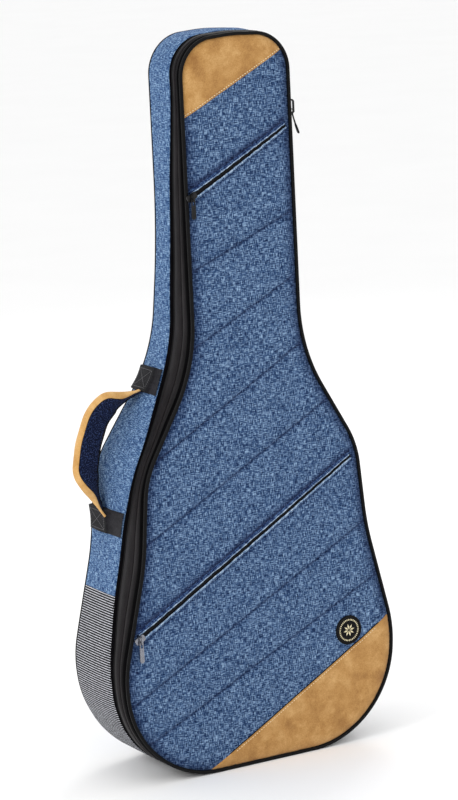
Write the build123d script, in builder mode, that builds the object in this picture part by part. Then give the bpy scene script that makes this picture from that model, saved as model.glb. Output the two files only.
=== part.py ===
"""Padded gig bag for a full-size acoustic guitar, standing on its flat bottom.

Frame: origin at the centre of the flat bottom, +Z up along the bag,
+X to the right of someone facing the front panel, the front panel faces -Y.
Millimetres.
"""
import math
import os
from build123d import *

os.makedirs("parts", exist_ok=True)

# ---------------------------------------------------------------- dimensions
front_y = -82.0            # front face of the lid panel
back_y = 82.0              # back face at the body
head_back_y = 11.0         # back face at the head
taper_low_z = 434.0        # the back starts to slope in here
taper_high_z = 806.0       # and runs parallel again from here
taper_r = 900.0
zip_y = -58.0              # plane where lid and base part
zip_gap = 0.6              # each half of the zip stops this far from the plane

fabric = 2.0
foam = 14.0
lining = 2.0
piping = 5.0

guard_top_z = 280.0        # top of the ribbed bottom guard
bind_front_y = -46.0       # ribbed binding between zip tape and side fabric
bind_back_y = -33.0

# front outline, right half from the bottom up, then mirrored: (x, z), corner radius
outline_pts = [(222, 0), (233.5, 173), (193.7, 336), (182.4, 462.6), (92.6, 619), (92, 1087),
               (0, 1093), (-92, 1087), (-92.6, 619), (-182.4, 462.6), (-193.7, 336),
               (-233.5, 173), (-222, 0)]
outline_r = [150, 190, 400, 144, 249, 58.6, 250, 58.6, 249, 144, 400, 190, 150]

hinge_x = 233.8            # lid hinge line, vertical, at the wide right side
hinge_low_z, hinge_high_z = 126.0, 206.0
bead_r = 1.6
leaf_t = 0.9               # hinge tape lapped onto the outside of lid and base

# carry handle on the left wall: ends of its pivot line, its lean and section
handle_top = Vector(-132.0, 28.0, 569.0)
handle_bottom = Vector(-198.0, 28.0, 399.5)
handle_lean = 30.0         # degrees towards the back
handle_w = 40.0
handle_t = 12.0
core_r = 3.6
sleeve_r = 4.0

main_slider_z = (974.0, 946.0)
main_pull_len = (34.0, 38.0)
wall_x = 92.0

pocket_upper = ((-82.0, 864.0), (81.5, 950.5))      # zip line on the front (x, z)
pocket_lower = ((-205.0, 229.0), (167.7, 443.4))
welt_w = 5.0
pocket_gap = 7.0
badge_c, badge_r = (150.5, 177.5), 22.5


# ---------------------------------------------------------------- outline helpers
def offset_outline(off):
    """Corner points and radii of the front outline moved outward by off."""
    n = len(outline_pts)
    v = [Vector(x, z) for x, z in outline_pts]
    nor = []
    for i in range(n):
        d = (v[(i + 1) % n] - v[i]).normalized()
        nor.append(Vector(d.Y, -d.X))
    pts, rad = [], []
    for i in range(n):
        n1, n2 = nor[i - 1], nor[i]
        b1, b2 = n1.dot(v[i]) + off, n2.dot(v[i]) + off
        det = n1.X * n2.Y - n1.Y * n2.X
        if abs(det) < 1e-9:
            p = v[i] + n1 * off
        else:
            p = Vector((b1 * n2.Y - b2 * n1.Y) / det, (n1.X * b2 - n2.X * b1) / det)
        pts.append(p)
        rad.append(outline_r[i] + off if det > 0 else outline_r[i] - off)
    return pts, rad


def outline_edges(off):
    """Draws the closed outline of lines and tangent arcs in the active BuildLine."""
    pts, rad = offset_outline(off)
    n = len(pts)
    arcs = []
    for i in range(n):
        d1 = (pts[i] - pts[i - 1]).normalized()
        d2 = (pts[(i + 1) % n] - pts[i]).normalized()
        ang = math.acos(max(-1, min(1, d1.dot(d2))))
        t = rad[i] * math.tan(ang / 2)
        p1, p2 = pts[i] - d1 * t, pts[i] + d2 * t
        bis = (d2 - d1).normalized()
        centre = pts[i] + bis * (rad[i] / math.cos(ang / 2))
        arcs.append((p1, centre - bis * rad[i], p2))
    for i in range(n):
        p1, pm, p2 = arcs[i]
        ThreePointArc(p1, pm, p2)
        q = arcs[(i + 1) % n][0]
        if (q - p2).length > 1e-4:
            Line(p2, q)


def outline_face(off):
    """Filled outline in the active BuildSketch."""
    with BuildLine(Plane.XY) as line:
        outline_edges(off)
    make_face(line.edges())


def half_width(z, off=0.0):
    """Half the width of the bag at height z (used to place things on the wall)."""
    pts, rad = offset_outline(off)
    n = len(pts)
    poly = []
    for i in range(n):
        d1 = (pts[i] - pts[i - 1]).normalized()
        d2 = (pts[(i + 1) % n] - pts[i]).normalized()
        ang = math.acos(max(-1, min(1, d1.dot(d2))))
        t = rad[i] * math.tan(ang / 2)
        p1, p2 = pts[i] - d1 * t, pts[i] + d2 * t
        bis = (d2 - d1).normalized()
        centre = pts[i] + bis * (rad[i] / math.cos(ang / 2))
        a1 = math.atan2(p1.Y - centre.Y, p1.X - centre.X)
        a2 = math.atan2(p2.Y - centre.Y, p2.X - centre.X)
        da = (a2 - a1 + math.pi) % (2 * math.pi) - math.pi
        for k in range(25):
            a = a1 + da * k / 24
            poly.append((centre.X + rad[i] * math.cos(a), centre.Y + rad[i] * math.sin(a)))
    best = 0.0
    for (xa, za), (xb, zb) in zip(poly, poly[1:] + poly[:1]):
        if (za - z) * (zb - z) <= 0 and za != zb:
            best = max(best, xa + (xb - xa) * (z - za) / (zb - za))
    return best


def slab(y_front, back_inset, z_low=-30.0, z_high=1130.0):
    """Side profile (y, z) in the active BuildSketch on Plane.YZ: flat front at y_front,
    back following the tapered back face moved inward by back_inset."""
    k = 0.0944 * back_inset
    with BuildLine(Plane.XY) as line:
        FilletPolyline((back_y - back_inset, z_low), (back_y - back_inset, taper_low_z - k),
                       (head_back_y - back_inset, taper_high_z - k),
                       (head_back_y - back_inset, z_high), radius=taper_r)
        Polyline((head_back_y - back_inset, z_high), (y_front, z_high), (y_front, z_low),
                 (back_y - back_inset, z_low))
    make_face(line.edges())


def back_strip(inset_out, inset_in, z_low=-30.0, z_high=1130.0):
    """Side profile of a layer on the back face between two insets."""
    ko, ki = 0.0944 * inset_out, 0.0944 * inset_in
    with BuildLine(Plane.XY) as line:
        FilletPolyline((back_y - inset_out, z_low), (back_y - inset_out, taper_low_z - ko),
                       (head_back_y - inset_out, taper_high_z - ko),
                       (head_back_y - inset_out, z_high), radius=taper_r)
        FilletPolyline((back_y - inset_in, z_low), (back_y - inset_in, taper_low_z - ki),
                       (head_back_y - inset_in, taper_high_z - ki),
                       (head_back_y - inset_in, z_high), radius=taper_r)
        Line((back_y - inset_out, z_low), (back_y - inset_in, z_low))
        Line((head_back_y - inset_out, z_high), (head_back_y - inset_in, z_high))
    make_face(line.edges())


def back_face_y(z):
    """Height of the back face above the zip frame at height z, straight parts only."""
    if z <= taper_low_z:
        return back_y
    if z >= taper_high_z:
        return head_back_y
    return back_y + (head_back_y - back_y) * (z - taper_low_z) / (taper_high_z - taper_low_z)


def front(y):
    """Drawing plane parallel to the front panel at depth y; extruding goes towards the front."""
    return Plane.XZ.offset(-y)


SIDE = Plane.YZ.offset(-320)
ALL = 640.0


def finish_node(builder, name):
    builder.part.label = name
    export_step(builder.part, "parts/" + name + ".step")


# ================================================================ shared cutting bodies
with BuildPart() as outer_block:            # everything inside the outer wall
    with BuildSketch(front(140)):
        outline_face(0)
    extrude(amount=280)

with BuildPart() as room:                   # the space inside the lining of the base
    with BuildSketch(front(140)):
        outline_face(-fabric - foam - lining)
    extrude(amount=280)
    with BuildSketch(SIDE):
        slab(-130, fabric + foam + lining)
    extrude(amount=ALL, mode=Mode.INTERSECT)


# ================================================================ base shell
with BuildPart() as back_cover_fabric:
    with BuildSketch(front(120)):
        outline_face(-0.01)
    extrude(amount=240)
    with BuildSketch(SIDE):
        back_strip(0, fabric)
    extrude(amount=ALL, mode=Mode.INTERSECT)
finish_node(back_cover_fabric, "back_cover_fabric")

with BuildPart() as side_cover_fabric:
    with BuildSketch(front(120)):
        outline_face(0)
        with BuildLine() as inner_line:
            outline_edges(-fabric)
        make_face(mode=Mode.SUBTRACT)
    extrude(amount=240)
    with BuildSketch(SIDE):
        slab(bind_back_y, fabric, z_low=guard_top_z)
    extrude(amount=ALL, mode=Mode.INTERSECT)
finish_node(side_cover_fabric, "side_cover_fabric")

with BuildPart() as bottom_guard_fabric:
    with BuildSketch(front(120)):
        outline_face(0)
        with BuildLine() as inner_line:
            outline_edges(-fabric)
        make_face(mode=Mode.SUBTRACT)
    extrude(amount=240)
    with BuildSketch(SIDE):
        with Locations(((back_y - fabric + bind_back_y) / 2, guard_top_z / 2 - 20)):
            Rectangle(back_y - fabric - bind_back_y, guard_top_z + 40)
    extrude(amount=ALL, mode=Mode.INTERSECT)
finish_node(bottom_guard_fabric, "bottom_guard_fabric")

with BuildPart() as side_foam:
    with BuildSketch(front(120)):
        outline_face(-fabric)
        with BuildLine() as inner_line:
            outline_edges(-fabric - foam)
        make_face(mode=Mode.SUBTRACT)
    extrude(amount=240)
    with BuildSketch(SIDE):
        slab(zip_y + 2.5, fabric)
    extrude(amount=ALL, mode=Mode.INTERSECT)
finish_node(side_foam, "side_foam")

with BuildPart() as back_foam:
    with BuildSketch(front(120)):
        outline_face(-fabric - foam)
    extrude(amount=240)
    with BuildSketch(SIDE):
        back_strip(fabric, fabric + foam)
    extrude(amount=ALL, mode=Mode.INTERSECT)
finish_node(back_foam, "back_foam")

with BuildPart() as base_lining:
    with BuildSketch(front(120)):
        outline_face(-fabric - foam)
    extrude(amount=240)
    with BuildSketch(SIDE):
        slab(zip_y + 2.5, fabric + foam)
    extrude(amount=ALL, mode=Mode.INTERSECT)
    add(room.part, mode=Mode.SUBTRACT)
finish_node(base_lining, "base_lining")

with BuildPart() as base_binding:
    with BuildSketch(front(bind_back_y)):
        outline_face(0)
        with BuildLine() as inner_line:
            outline_edges(-fabric)
        make_face(mode=Mode.SUBTRACT)
    extrude(amount=bind_back_y - bind_front_y)
finish_node(base_binding, "base_binding")

with BuildPart() as base_zip_tape:
    with BuildSketch(front(bind_front_y)):
        outline_face(0)
        with BuildLine() as inner_line:
            outline_edges(-fabric)
        make_face(mode=Mode.SUBTRACT)
    extrude(amount=bind_front_y - (zip_y + 2.5))
finish_node(base_zip_tape, "base_zip_tape")

with BuildPart() as base_zip_coil:
    with BuildSketch(front(zip_y + 2.5)):
        outline_face(0)
        with BuildLine() as inner_line:
            outline_edges(-fabric - 0.5)
        make_face(mode=Mode.SUBTRACT)
    extrude(amount=2.5 - zip_gap)
finish_node(base_zip_coil, "base_zip_coil")

# hinge line: a corded bead carried by a strip of the base
with BuildPart() as hinge_bead:
    with BuildSketch(Plane.XY.offset(hinge_low_z)):
        with Locations((hinge_x, zip_y)):
            Circle(bead_r)
    extrude(amount=hinge_high_z - hinge_low_z)
finish_node(hinge_bead, "hinge_bead")

with BuildPart() as base_hinge_leaf:
    with BuildSketch(front(zip_y + 14)):
        outline_face(leaf_t)
        with Locations((hinge_x, (hinge_low_z + hinge_high_z) / 2)):
            Rectangle(60, hinge_high_z - hinge_low_z, mode=Mode.INTERSECT)
    extrude(amount=13.1)
    with BuildSketch(Plane.XY.offset(hinge_low_z)):
        with Locations((hinge_x - 5, zip_y + 1.8)):
            Rectangle(10, 1.8)
    extrude(amount=hinge_high_z - hinge_low_z)
    add(outer_block.part, mode=Mode.SUBTRACT)
    add(hinge_bead.part, mode=Mode.SUBTRACT)
finish_node(base_hinge_leaf, "base_hinge_leaf")

# interior pads
with BuildPart() as tail_pad:
    with BuildSketch(front(50)):
        with BuildLine():
            Polyline((-70, 0), (70, 0), (60, 34), (-60, 34), close=True)
        make_face()
    extrude(amount=90)
    add(room.part, mode=Mode.INTERSECT)
finish_node(tail_pad, "tail_pad")

with BuildPart() as head_pad:
    with BuildSketch(front(-12)):
        with Locations((0, 1067)):
            Rectangle(96, 20)
    extrude(amount=30)
    add(room.part, mode=Mode.INTERSECT)
finish_node(head_pad, "head_pad")

with BuildPart() as neck_rest:
    with BuildSketch(Plane.XY.offset(690)):
        with BuildLine():
            Polyline((-72, 60), (-72, -22), (-40, -22), (-31, 2), (31, 2), (40, -22), (72, -22),
                     (72, 60), close=True)
        make_face()
    extrude(amount=58)
    add(room.part, mode=Mode.INTERSECT)
finish_node(neck_rest, "neck_rest")

with BuildPart() as neck_strap_hook:
    with BuildSketch(front(-22)):
        with Locations((-55, 719)):
            Rectangle(28, 25)
    extrude(amount=2.5)
finish_node(neck_strap_hook, "neck_strap_hook")

with BuildPart() as neck_strap_loop:
    with BuildSketch(front(-22)):
        with Locations((55, 719)):
            Rectangle(28, 25)
    extrude(amount=2.5)
finish_node(neck_strap_loop, "neck_strap_loop")

# piping round the back edge, just outside the side wall
with BuildPart() as back_piping:
    with BuildSketch(front(120)):
        outline_face(2.2)
        with BuildLine() as inner_line:
            outline_edges(0)
        make_face(mode=Mode.SUBTRACT)
    extrude(amount=240)
    with BuildSketch(SIDE):
        back_strip(0, 4, z_low=6)
    extrude(amount=ALL, mode=Mode.INTERSECT)
finish_node(back_piping, "back_piping")

# ---------------------------------------------------------------- carry handle and its tabs
chord = (handle_bottom - handle_top).normalized()
chord_len = (handle_bottom - handle_top).length
out_dir = Vector(chord.Z, 0, -chord.X).normalized()
if out_dir.X > 0:
    out_dir = out_dir * -1
lean = math.radians(handle_lean)
bow_dir = out_dir * math.cos(lean) + Vector(0, 1, 0) * math.sin(lean)
wide_dir = chord.cross(bow_dir).normalized()
ARCH = Plane(origin=handle_top, x_dir=chord, z_dir=wide_dir)       # local x along the pivot line
bow_sign = 1.0 if ARCH.y_dir.dot(bow_dir) > 0 else -1.0

arch_centre = [(4, 2), (12, 17), (28, 40), (56, 55), (92, 58), (124, 52), (150, 36), (168, 15),
               (chord_len - 4, 2)]


def arch_band(inner, outer):
    """Curved band between two offsets of the handle's middle line, in the ARCH plane."""
    pts = [Vector(x, bow_sign * y) for x, y in arch_centre]
    left, right = [], []
    for i, p in enumerate(pts):
        a = pts[max(i - 1, 0)]
        b = pts[min(i + 1, len(pts) - 1)]
        d = (b - a).normalized()
        nrm = Vector(-d.Y, d.X) * bow_sign
        left.append(p + nrm * inner)
        right.append(p + nrm * outer)
    with BuildLine(Plane.XY) as line:
        Spline(*left)
        Spline(*right)
        Line(left[0], right[0])
        Line(left[-1], right[-1])
    make_face(line.edges())


def handle_plan(half):
    """Outline of the handle seen along its bow: narrow at both ends."""
    with BuildLine(Plane.XY) as line:
        Polyline((2, -8), (20, -10), (44, -half), (chord_len - 44, -half), (chord_len - 20, -10),
                 (chord_len - 2, -8), (chord_len - 2, 8), (chord_len - 20, 10),
                 (chord_len - 44, half), (44, half), (20, 10), (2, 8), close=True)
    make_face(line.edges())


PLAN = Plane(origin=handle_top - bow_dir * 40, x_dir=chord, z_dir=bow_dir)

with BuildPart() as handle_suede:
    with BuildSketch(ARCH.offset(-40)):
        arch_band(handle_t / 2 - 2.5, handle_t / 2)
    extrude(amount=80)
    with BuildSketch(PLAN):
        handle_plan(handle_w / 2)
    extrude(amount=160, mode=Mode.INTERSECT)
finish_node(handle_suede, "handle_suede")

with BuildPart() as handle_foam:
    with BuildSketch(ARCH.offset(-40)):
        arch_band(-handle_t / 2 + 1.5, handle_t / 2 - 2.5)
    extrude(amount=80)
    with BuildSketch(PLAN):
        handle_plan(handle_w / 2)
    extrude(amount=160, mode=Mode.INTERSECT)
finish_node(handle_foam, "handle_foam")

with BuildPart() as handle_lining:
    with BuildSketch(ARCH.offset(-40)):
        arch_band(-handle_t / 2, -handle_t / 2 + 1.5)
    extrude(amount=80)
    with BuildSketch(PLAN):
        handle_plan(handle_w / 2)
    extrude(amount=160, mode=Mode.INTERSECT)
finish_node(handle_lining, "handle_lining")

# webbing ends of the handle: round cores on the pivot line, inside the tabs' sleeves
core_top_plane = Plane(origin=handle_top - chord * 26, z_dir=chord)
core_bottom_plane = Plane(origin=handle_bottom - chord * 7, z_dir=chord)
with BuildPart() as handle_end_webbing:
    with BuildSketch(core_top_plane):
        Circle(core_r)
    extrude(amount=33)
    with BuildSketch(core_bottom_plane):
        Circle(core_r)
    extrude(amount=33)
    add(handle_foam.part, mode=Mode.SUBTRACT)
    add(handle_suede.part, mode=Mode.SUBTRACT)
    add(handle_lining.part, mode=Mode.SUBTRACT)
finish_node(handle_end_webbing, "handle_end_webbing")


def tab_block(z_low, z_high, y_low, y_high):
    """Folded webbing tab hugging the left wall between two heights."""
    with BuildSketch(front(y_high)) as sk:
        outline_face(15)
        with BuildLine(Plane.XY) as line:
            outline_edges(0)
        make_face(line.edges(), mode=Mode.SUBTRACT)
        with Locations((-160, (z_low + z_high) / 2)):
            Rectangle(180, z_high - z_low, mode=Mode.INTERSECT)
    extrude(sk.sketch, amount=y_high - y_low)


with BuildPart() as handle_tab_upper:
    tab_block(574, 606, -19, 42)
    with BuildSketch(Plane(origin=handle_top - chord * 80, z_dir=chord)):
        Circle(sleeve_r)
    extrude(amount=160, mode=Mode.SUBTRACT)
    with BuildSketch(front(15)):
        outline_face(25)
        with BuildLine() as inner_line:
            outline_edges(2.5)
        make_face(mode=Mode.SUBTRACT)
    extrude(amount=60, mode=Mode.SUBTRACT)
finish_node(handle_tab_upper, "handle_tab_upper")

with BuildPart() as handle_tab_lower:
    tab_block(362, 394, -22, 70)
    with BuildSketch(Plane(origin=handle_bottom - chord * 80, z_dir=chord)):
        Circle(sleeve_r)
    extrude(amount=160, mode=Mode.SUBTRACT)
    for y_far, span in ((15, 60), (72, 30)):
        with BuildSketch(front(y_far)):
            outline_face(25)
            with BuildLine() as inner_line:
                outline_edges(2.5)
            make_face(mode=Mode.SUBTRACT)
        extrude(amount=span, mode=Mode.SUBTRACT)
finish_node(handle_tab_lower, "handle_tab_lower")

# ---------------------------------------------------------------- back: haul loop, harness
with BuildPart() as haul_loop:
    with BuildSketch(Plane.YZ.offset(-12.5)):
        with BuildLine():
            Polyline((head_back_y, 985), (head_back_y + 3, 985), (head_back_y + 3, 1004),
                     (head_back_y + 24, 1012), (head_back_y + 24, 1040),
                     (head_back_y + 3, 1050), (head_back_y + 3, 1068), (head_back_y, 1068),
                     (head_back_y, 1046), (head_back_y + 21, 1037.6), (head_back_y + 21, 1014.4),
                     (head_back_y, 1006), close=True)
        make_face()
    extrude(amount=25)
finish_node(haul_loop, "haul_loop")

strap_t = 9.0
web_t = 2.0


def strap_plan(side):
    """Curved shoulder strap outline on the back, mirrored by side = -1 or 1."""
    with BuildLine(Plane.XY) as line:
        Polyline((side * 14, 668), (side * 52, 668), (side * 72, 610), (side * 88, 540),
                 (side * 98, 470), (side * 102, 400), (side * 100, 352), (side * 62, 352),
                 (side * 56, 400), (side * 48, 470), (side * 38, 540), (side * 24, 610),
                 close=True)
    make_face(line.edges())


with BuildPart() as shoulder_strap_left:
    with BuildSketch(front(160)):
        strap_plan(-1)
    extrude(amount=240)
    with BuildSketch(SIDE):
        back_strip(-strap_t - 0.2, -0.2)
    extrude(amount=ALL, mode=Mode.INTERSECT)
finish_node(shoulder_strap_left, "shoulder_strap_left")

with BuildPart() as shoulder_strap_right:
    with BuildSketch(front(160)):
        strap_plan(1)
    extrude(amount=240)
    with BuildSketch(SIDE):
        back_strip(-strap_t - 0.2, -0.2)
    extrude(amount=ALL, mode=Mode.INTERSECT)
finish_node(shoulder_strap_right, "shoulder_strap_right")

with BuildPart() as strap_anchor_upper:
    with BuildSketch(front(160)):
        with Locations((0, 694)):
            Rectangle(130, 50)
    extrude(amount=240)
    with BuildSketch(SIDE):
        back_strip(-3.0, -0.2)
    extrude(amount=ALL, mode=Mode.INTERSECT)
finish_node(strap_anchor_upper, "strap_anchor_upper")

with BuildPart() as strap_anchor_lower:
    with BuildSketch(front(back_y + 3.2)):
        with Locations((-112, 96), (112, 96)):
            Rectangle(52, 44)
    extrude(amount=3.0)
finish_node(strap_anchor_lower, "strap_anchor_lower")

with BuildPart() as strap_webbing_left:
    with BuildSketch(front(back_y + 0.2 + web_t)):
        with BuildLine():
            Polyline((-92, 322), (-68, 322), (-96, 119), (-120, 119), close=True)
        make_face()
    extrude(amount=web_t)
finish_node(strap_webbing_left, "strap_webbing_left")

with BuildPart() as strap_webbing_right:
    with BuildSketch(front(back_y + 0.2 + web_t)):
        with BuildLine():
            Polyline((92, 322), (68, 322), (96, 119), (120, 119), close=True)
        make_face()
    extrude(amount=web_t)
finish_node(strap_webbing_right, "strap_webbing_right")


def ladder_lock(side):
    """Moulded adjuster: a frame with a cross bar and two webbing slots."""
    with BuildSketch(front(back_y + 0.2 + 7)) as sk:
        with Locations((side * 80.5, 337)):
            RectangleRounded(34, 29, 3)
    extrude(sk.sketch, amount=7)
    with BuildSketch(front(back_y + 20)) as sk:
        with Locations((side * 80.5, 344.5), (side * 80.5, 329.5)):
            Rectangle(26, 3.6)
    extrude(sk.sketch, amount=30, mode=Mode.SUBTRACT)


with BuildPart() as strap_buckle_left:
    ladder_lock(-1)
finish_node(strap_buckle_left, "strap_buckle_left")

with BuildPart() as strap_buckle_right:
    ladder_lock(1)
finish_node(strap_buckle_right, "strap_buckle_right")

# ================================================================ lid
panel_back = front_y + fabric


def line_dir(a, b):
    v = Vector(b[0] - a[0], b[1] - a[1])
    return v.normalized(), v.length


def zip_band(a, b, off_low, off_high, extra=0.0):
    """Strip parallel to the zip line a-b between two perpendicular offsets."""
    d, length = line_dir(a, b)
    n = Vector(-d.Y, d.X)
    p, q = Vector(*a) - d * extra, Vector(*b) + d * extra
    with BuildLine(Plane.XY) as line:
        Polyline(p + n * off_low, q + n * off_low, q + n * off_high, p + n * off_high, close=True)
    make_face(line.edges())


with BuildPart() as lid_cover_fabric:
    with BuildSketch(front(panel_back)):
        outline_face(-piping)
    extrude(amount=fabric)
    for a, b in (pocket_upper, pocket_lower):
        with BuildSketch(front(panel_back + 1)):
            zip_band(a, b, -pocket_gap / 2, pocket_gap / 2, 0)
        extrude(amount=fabric + 2, mode=Mode.SUBTRACT)
finish_node(lid_cover_fabric, "lid_cover_fabric")

with BuildPart() as lid_piping:
    with BuildSketch(front(front_y + piping)):
        outline_face(0)
        with BuildLine() as inner_line:
            outline_edges(-piping)
        make_face(mode=Mode.SUBTRACT)
    extrude(amount=piping)
finish_node(lid_piping, "lid_piping")

pouch_t = 2.4
pouch_upper = [(-80, 700), (80, 700), (80, 944), (-80, 858)]
pouch_lower = [(-150, 90), (150, 90), (164, 434), (-195, 226)]


def pouch_face(points):
    with BuildLine(Plane.XY) as line:
        Polyline(*points, close=True)
    make_face(line.edges())


with BuildPart() as lid_foam:
    with BuildSketch(front(front_y + piping)):
        outline_face(-piping)
    extrude(amount=piping - fabric)
    with BuildSketch(front(front_y + fabric + foam)):
        outline_face(-fabric)
    extrude(amount=foam + fabric - piping)
    with BuildSketch(front(zip_y - 2.5)):
        outline_face(-fabric)
        with BuildLine() as inner_line:
            outline_edges(-fabric - foam)
        make_face(mode=Mode.SUBTRACT)
    extrude(amount=(zip_y - 2.5) - (front_y + fabric + foam))
    for pts in (pouch_upper, pouch_lower):
        with BuildSketch(front(panel_back + pouch_t)):
            pouch_face(pts)
        extrude(amount=pouch_t, mode=Mode.SUBTRACT)
finish_node(lid_foam, "lid_foam")

with BuildPart() as lid_lining:
    with BuildSketch(front(front_y + fabric + foam + lining)):
        outline_face(-fabric - foam)
    extrude(amount=lining)
    with BuildSketch(front(zip_y - 2.5)):
        outline_face(-fabric - foam)
        with BuildLine() as inner_line:
            outline_edges(-fabric - foam - lining)
        make_face(mode=Mode.SUBTRACT)
    extrude(amount=(zip_y - 2.5) - (front_y + fabric + foam + lining))
finish_node(lid_lining, "lid_lining")

with BuildPart() as lid_zip_tape:
    with BuildSketch(front(zip_y - 2.5)):
        outline_face(0)
        with BuildLine() as inner_line:
            outline_edges(-fabric)
        make_face(mode=Mode.SUBTRACT)
    extrude(amount=(zip_y - 2.5) - (front_y + piping))
finish_node(lid_zip_tape, "lid_zip_tape")

with BuildPart() as lid_zip_coil:
    with BuildSketch(front(zip_y - zip_gap)):
        outline_face(0)
        with BuildLine() as inner_line:
            outline_edges(-fabric - 0.5)
        make_face(mode=Mode.SUBTRACT)
    extrude(amount=2.5 - zip_gap)
finish_node(lid_zip_coil, "lid_zip_coil")

with BuildPart() as lid_hinge_leaf:
    with BuildSketch(front(zip_y - 0.9)):
        outline_face(leaf_t)
        with Locations((hinge_x, (hinge_low_z + hinge_high_z) / 2)):
            Rectangle(60, hinge_high_z - hinge_low_z, mode=Mode.INTERSECT)
    extrude(amount=13.1)
    with BuildSketch(Plane.XY.offset(hinge_low_z)):
        with Locations((hinge_x - 5.5, zip_y - 1.8)):
            Rectangle(9, 1.8)
    extrude(amount=hinge_high_z - hinge_low_z)
    add(outer_block.part, mode=Mode.SUBTRACT)
    with BuildSketch(Plane.XY.offset(hinge_low_z - 5)):
        with Locations((hinge_x, zip_y)):
            Circle(bead_r + 0.4)
    extrude(amount=hinge_high_z - hinge_low_z + 10, mode=Mode.SUBTRACT)
finish_node(lid_hinge_leaf, "lid_hinge_leaf")

patch_t = 1.3
with BuildPart() as suede_head_patch:
    with BuildSketch(front(front_y)):
        outline_face(-piping - 0.3)
        with BuildLine() as cut_line:
            Polyline((-160, 938.2), (160, 1102.2), (160, 1200), (-160, 1200), close=True)
        make_face(mode=Mode.INTERSECT)
    extrude(amount=patch_t)
finish_node(suede_head_patch, "suede_head_patch")

with BuildPart() as suede_bottom_patch:
    with BuildSketch(front(front_y)):
        outline_face(-piping - 0.3)
        with BuildLine() as cut_line:
            Polyline((-154.0, -26.0), (295.9, 230.1), (295.9, -40), (-154, -40), close=True)
        make_face(mode=Mode.INTERSECT)
    extrude(amount=patch_t)
finish_node(suede_bottom_patch, "suede_bottom_patch")

with BuildPart() as badge:
    with BuildSketch(front(front_y)):
        with Locations(badge_c):
            Circle(badge_r)
    extrude(amount=2.2)
    fillet(badge.edges().filter_by(GeomType.CIRCLE).sort_by(Axis.Y)[0], 0.8)
finish_node(badge, "badge")

for zname, wname, line in (("upper_pocket_zip", "upper_pocket_welts", pocket_upper),
                           ("lower_pocket_zip", "lower_pocket_welts", pocket_lower)):
    with BuildPart() as pocket_zip:
        with BuildSketch(front(panel_back)):
            zip_band(line[0], line[1], -pocket_gap / 2 + 0.1, pocket_gap / 2 - 0.1, -0.2)
        extrude(amount=fabric - 0.6)
    finish_node(pocket_zip, zname)
    with BuildPart() as pocket_welts:
        with BuildSketch(front(front_y)):
            zip_band(line[0], line[1], -pocket_gap / 2 - welt_w + 2, -pocket_gap / 2 + 1.2)
            zip_band(line[0], line[1], pocket_gap / 2 - 1.2, pocket_gap / 2 + welt_w - 2)
        extrude(amount=1.6)
    finish_node(pocket_welts, wname)

with BuildPart() as upper_pocket_pouch:
    with BuildSketch(front(panel_back + pouch_t)):
        pouch_face(pouch_upper)
    extrude(amount=pouch_t)
finish_node(upper_pocket_pouch, "upper_pocket_pouch")

with BuildPart() as lower_pocket_pouch:
    with BuildSketch(front(panel_back + pouch_t)):
        pouch_face(pouch_lower)
    extrude(amount=pouch_t)
finish_node(lower_pocket_pouch, "lower_pocket_pouch")


# ================================================================ sliders and pulls
def main_slider(z, y_crown, proud):
    """Outer half of a zip slider on the right wall: wedge plate, fin between the coils,
    and a crown loop that the pull hangs from."""
    x0 = wall_x + 0.8
    with BuildSketch(Plane.YZ.offset(x0)) as sk:
        with Locations((zip_y, z)):
            RectangleRounded(14, 24, 4)
    extrude(sk.sketch, amount=2.0)
    with BuildSketch(front(zip_y + 0.25)) as sk:
        with Locations((wall_x - 0.2, z)):
            Rectangle(2.4, 10)
    extrude(sk.sketch, amount=0.5)
    with BuildSketch(front(y_crown + 1.2)) as sk:
        with BuildLine(Plane.XY) as line:
            Polyline((x0 + 2, z - 11), (x0 + proud - 3, z - 11), (x0 + proud, z - 8),
                     (x0 + proud, z + 8), (x0 + proud - 3, z + 11), (x0 + 2, z + 11), close=True)
        make_face(line.edges())
        with BuildLine(Plane.XY) as line:
            Polyline((x0 + 2, z - 8.6), (x0 + proud - 4, z - 8.6), (x0 + proud - 2.4, z - 7),
                     (x0 + proud - 2.4, z + 7), (x0 + proud - 4, z + 8.6), (x0 + 2, z + 8.6),
                     close=True)
        make_face(line.edges(), mode=Mode.SUBTRACT)
    extrude(sk.sketch, amount=2.4)


# the upper slider stands a little prouder so that its pull hangs clear of the lower one
upper_proud, lower_proud = 15.0, 11.0
upper_y, lower_y = zip_y - 4.0, zip_y + 4.0

with BuildPart() as main_slider_upper:
    main_slider(main_slider_z[0], upper_y, upper_proud)
finish_node(main_slider_upper, "main_slider_upper")

with BuildPart() as main_slider_lower:
    main_slider(main_slider_z[1], lower_y, lower_proud)
finish_node(main_slider_lower, "main_slider_lower")


def hung_pull(x, y, z, length):
    """Pull whose top bar lies inside the crown; the crown's outer limb passes its window."""
    with BuildSketch(front(y + 3.3)) as sk:
        with Locations((x, z)):
            Circle(1.0)
    extrude(sk.sketch, amount=6.6)
    for s in (-1, 1):
        with BuildSketch(front(y + s * 2.5 + 0.8)) as sk:
            with BuildLine(Plane.XY) as line:
                Polyline((x - 1, z), (x + 1, z), (x + 1, z - 13), (x - 1, z - 13), close=True)
            make_face(line.edges())
        extrude(sk.sketch, amount=1.6)
    with BuildSketch(Plane.YZ.offset(x - 1.0)) as sk:
        with BuildLine(Plane.XY) as line:
            Polyline((y - 3.3, z - 12.6), (y + 3.3, z - 12.6), (y + 3.3, z - length + 3),
                     (y + 1.8, z - length), (y - 1.8, z - length), (y - 3.3, z - length + 3),
                     close=True)
        make_face(line.edges())
    extrude(sk.sketch, amount=2.0)


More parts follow.
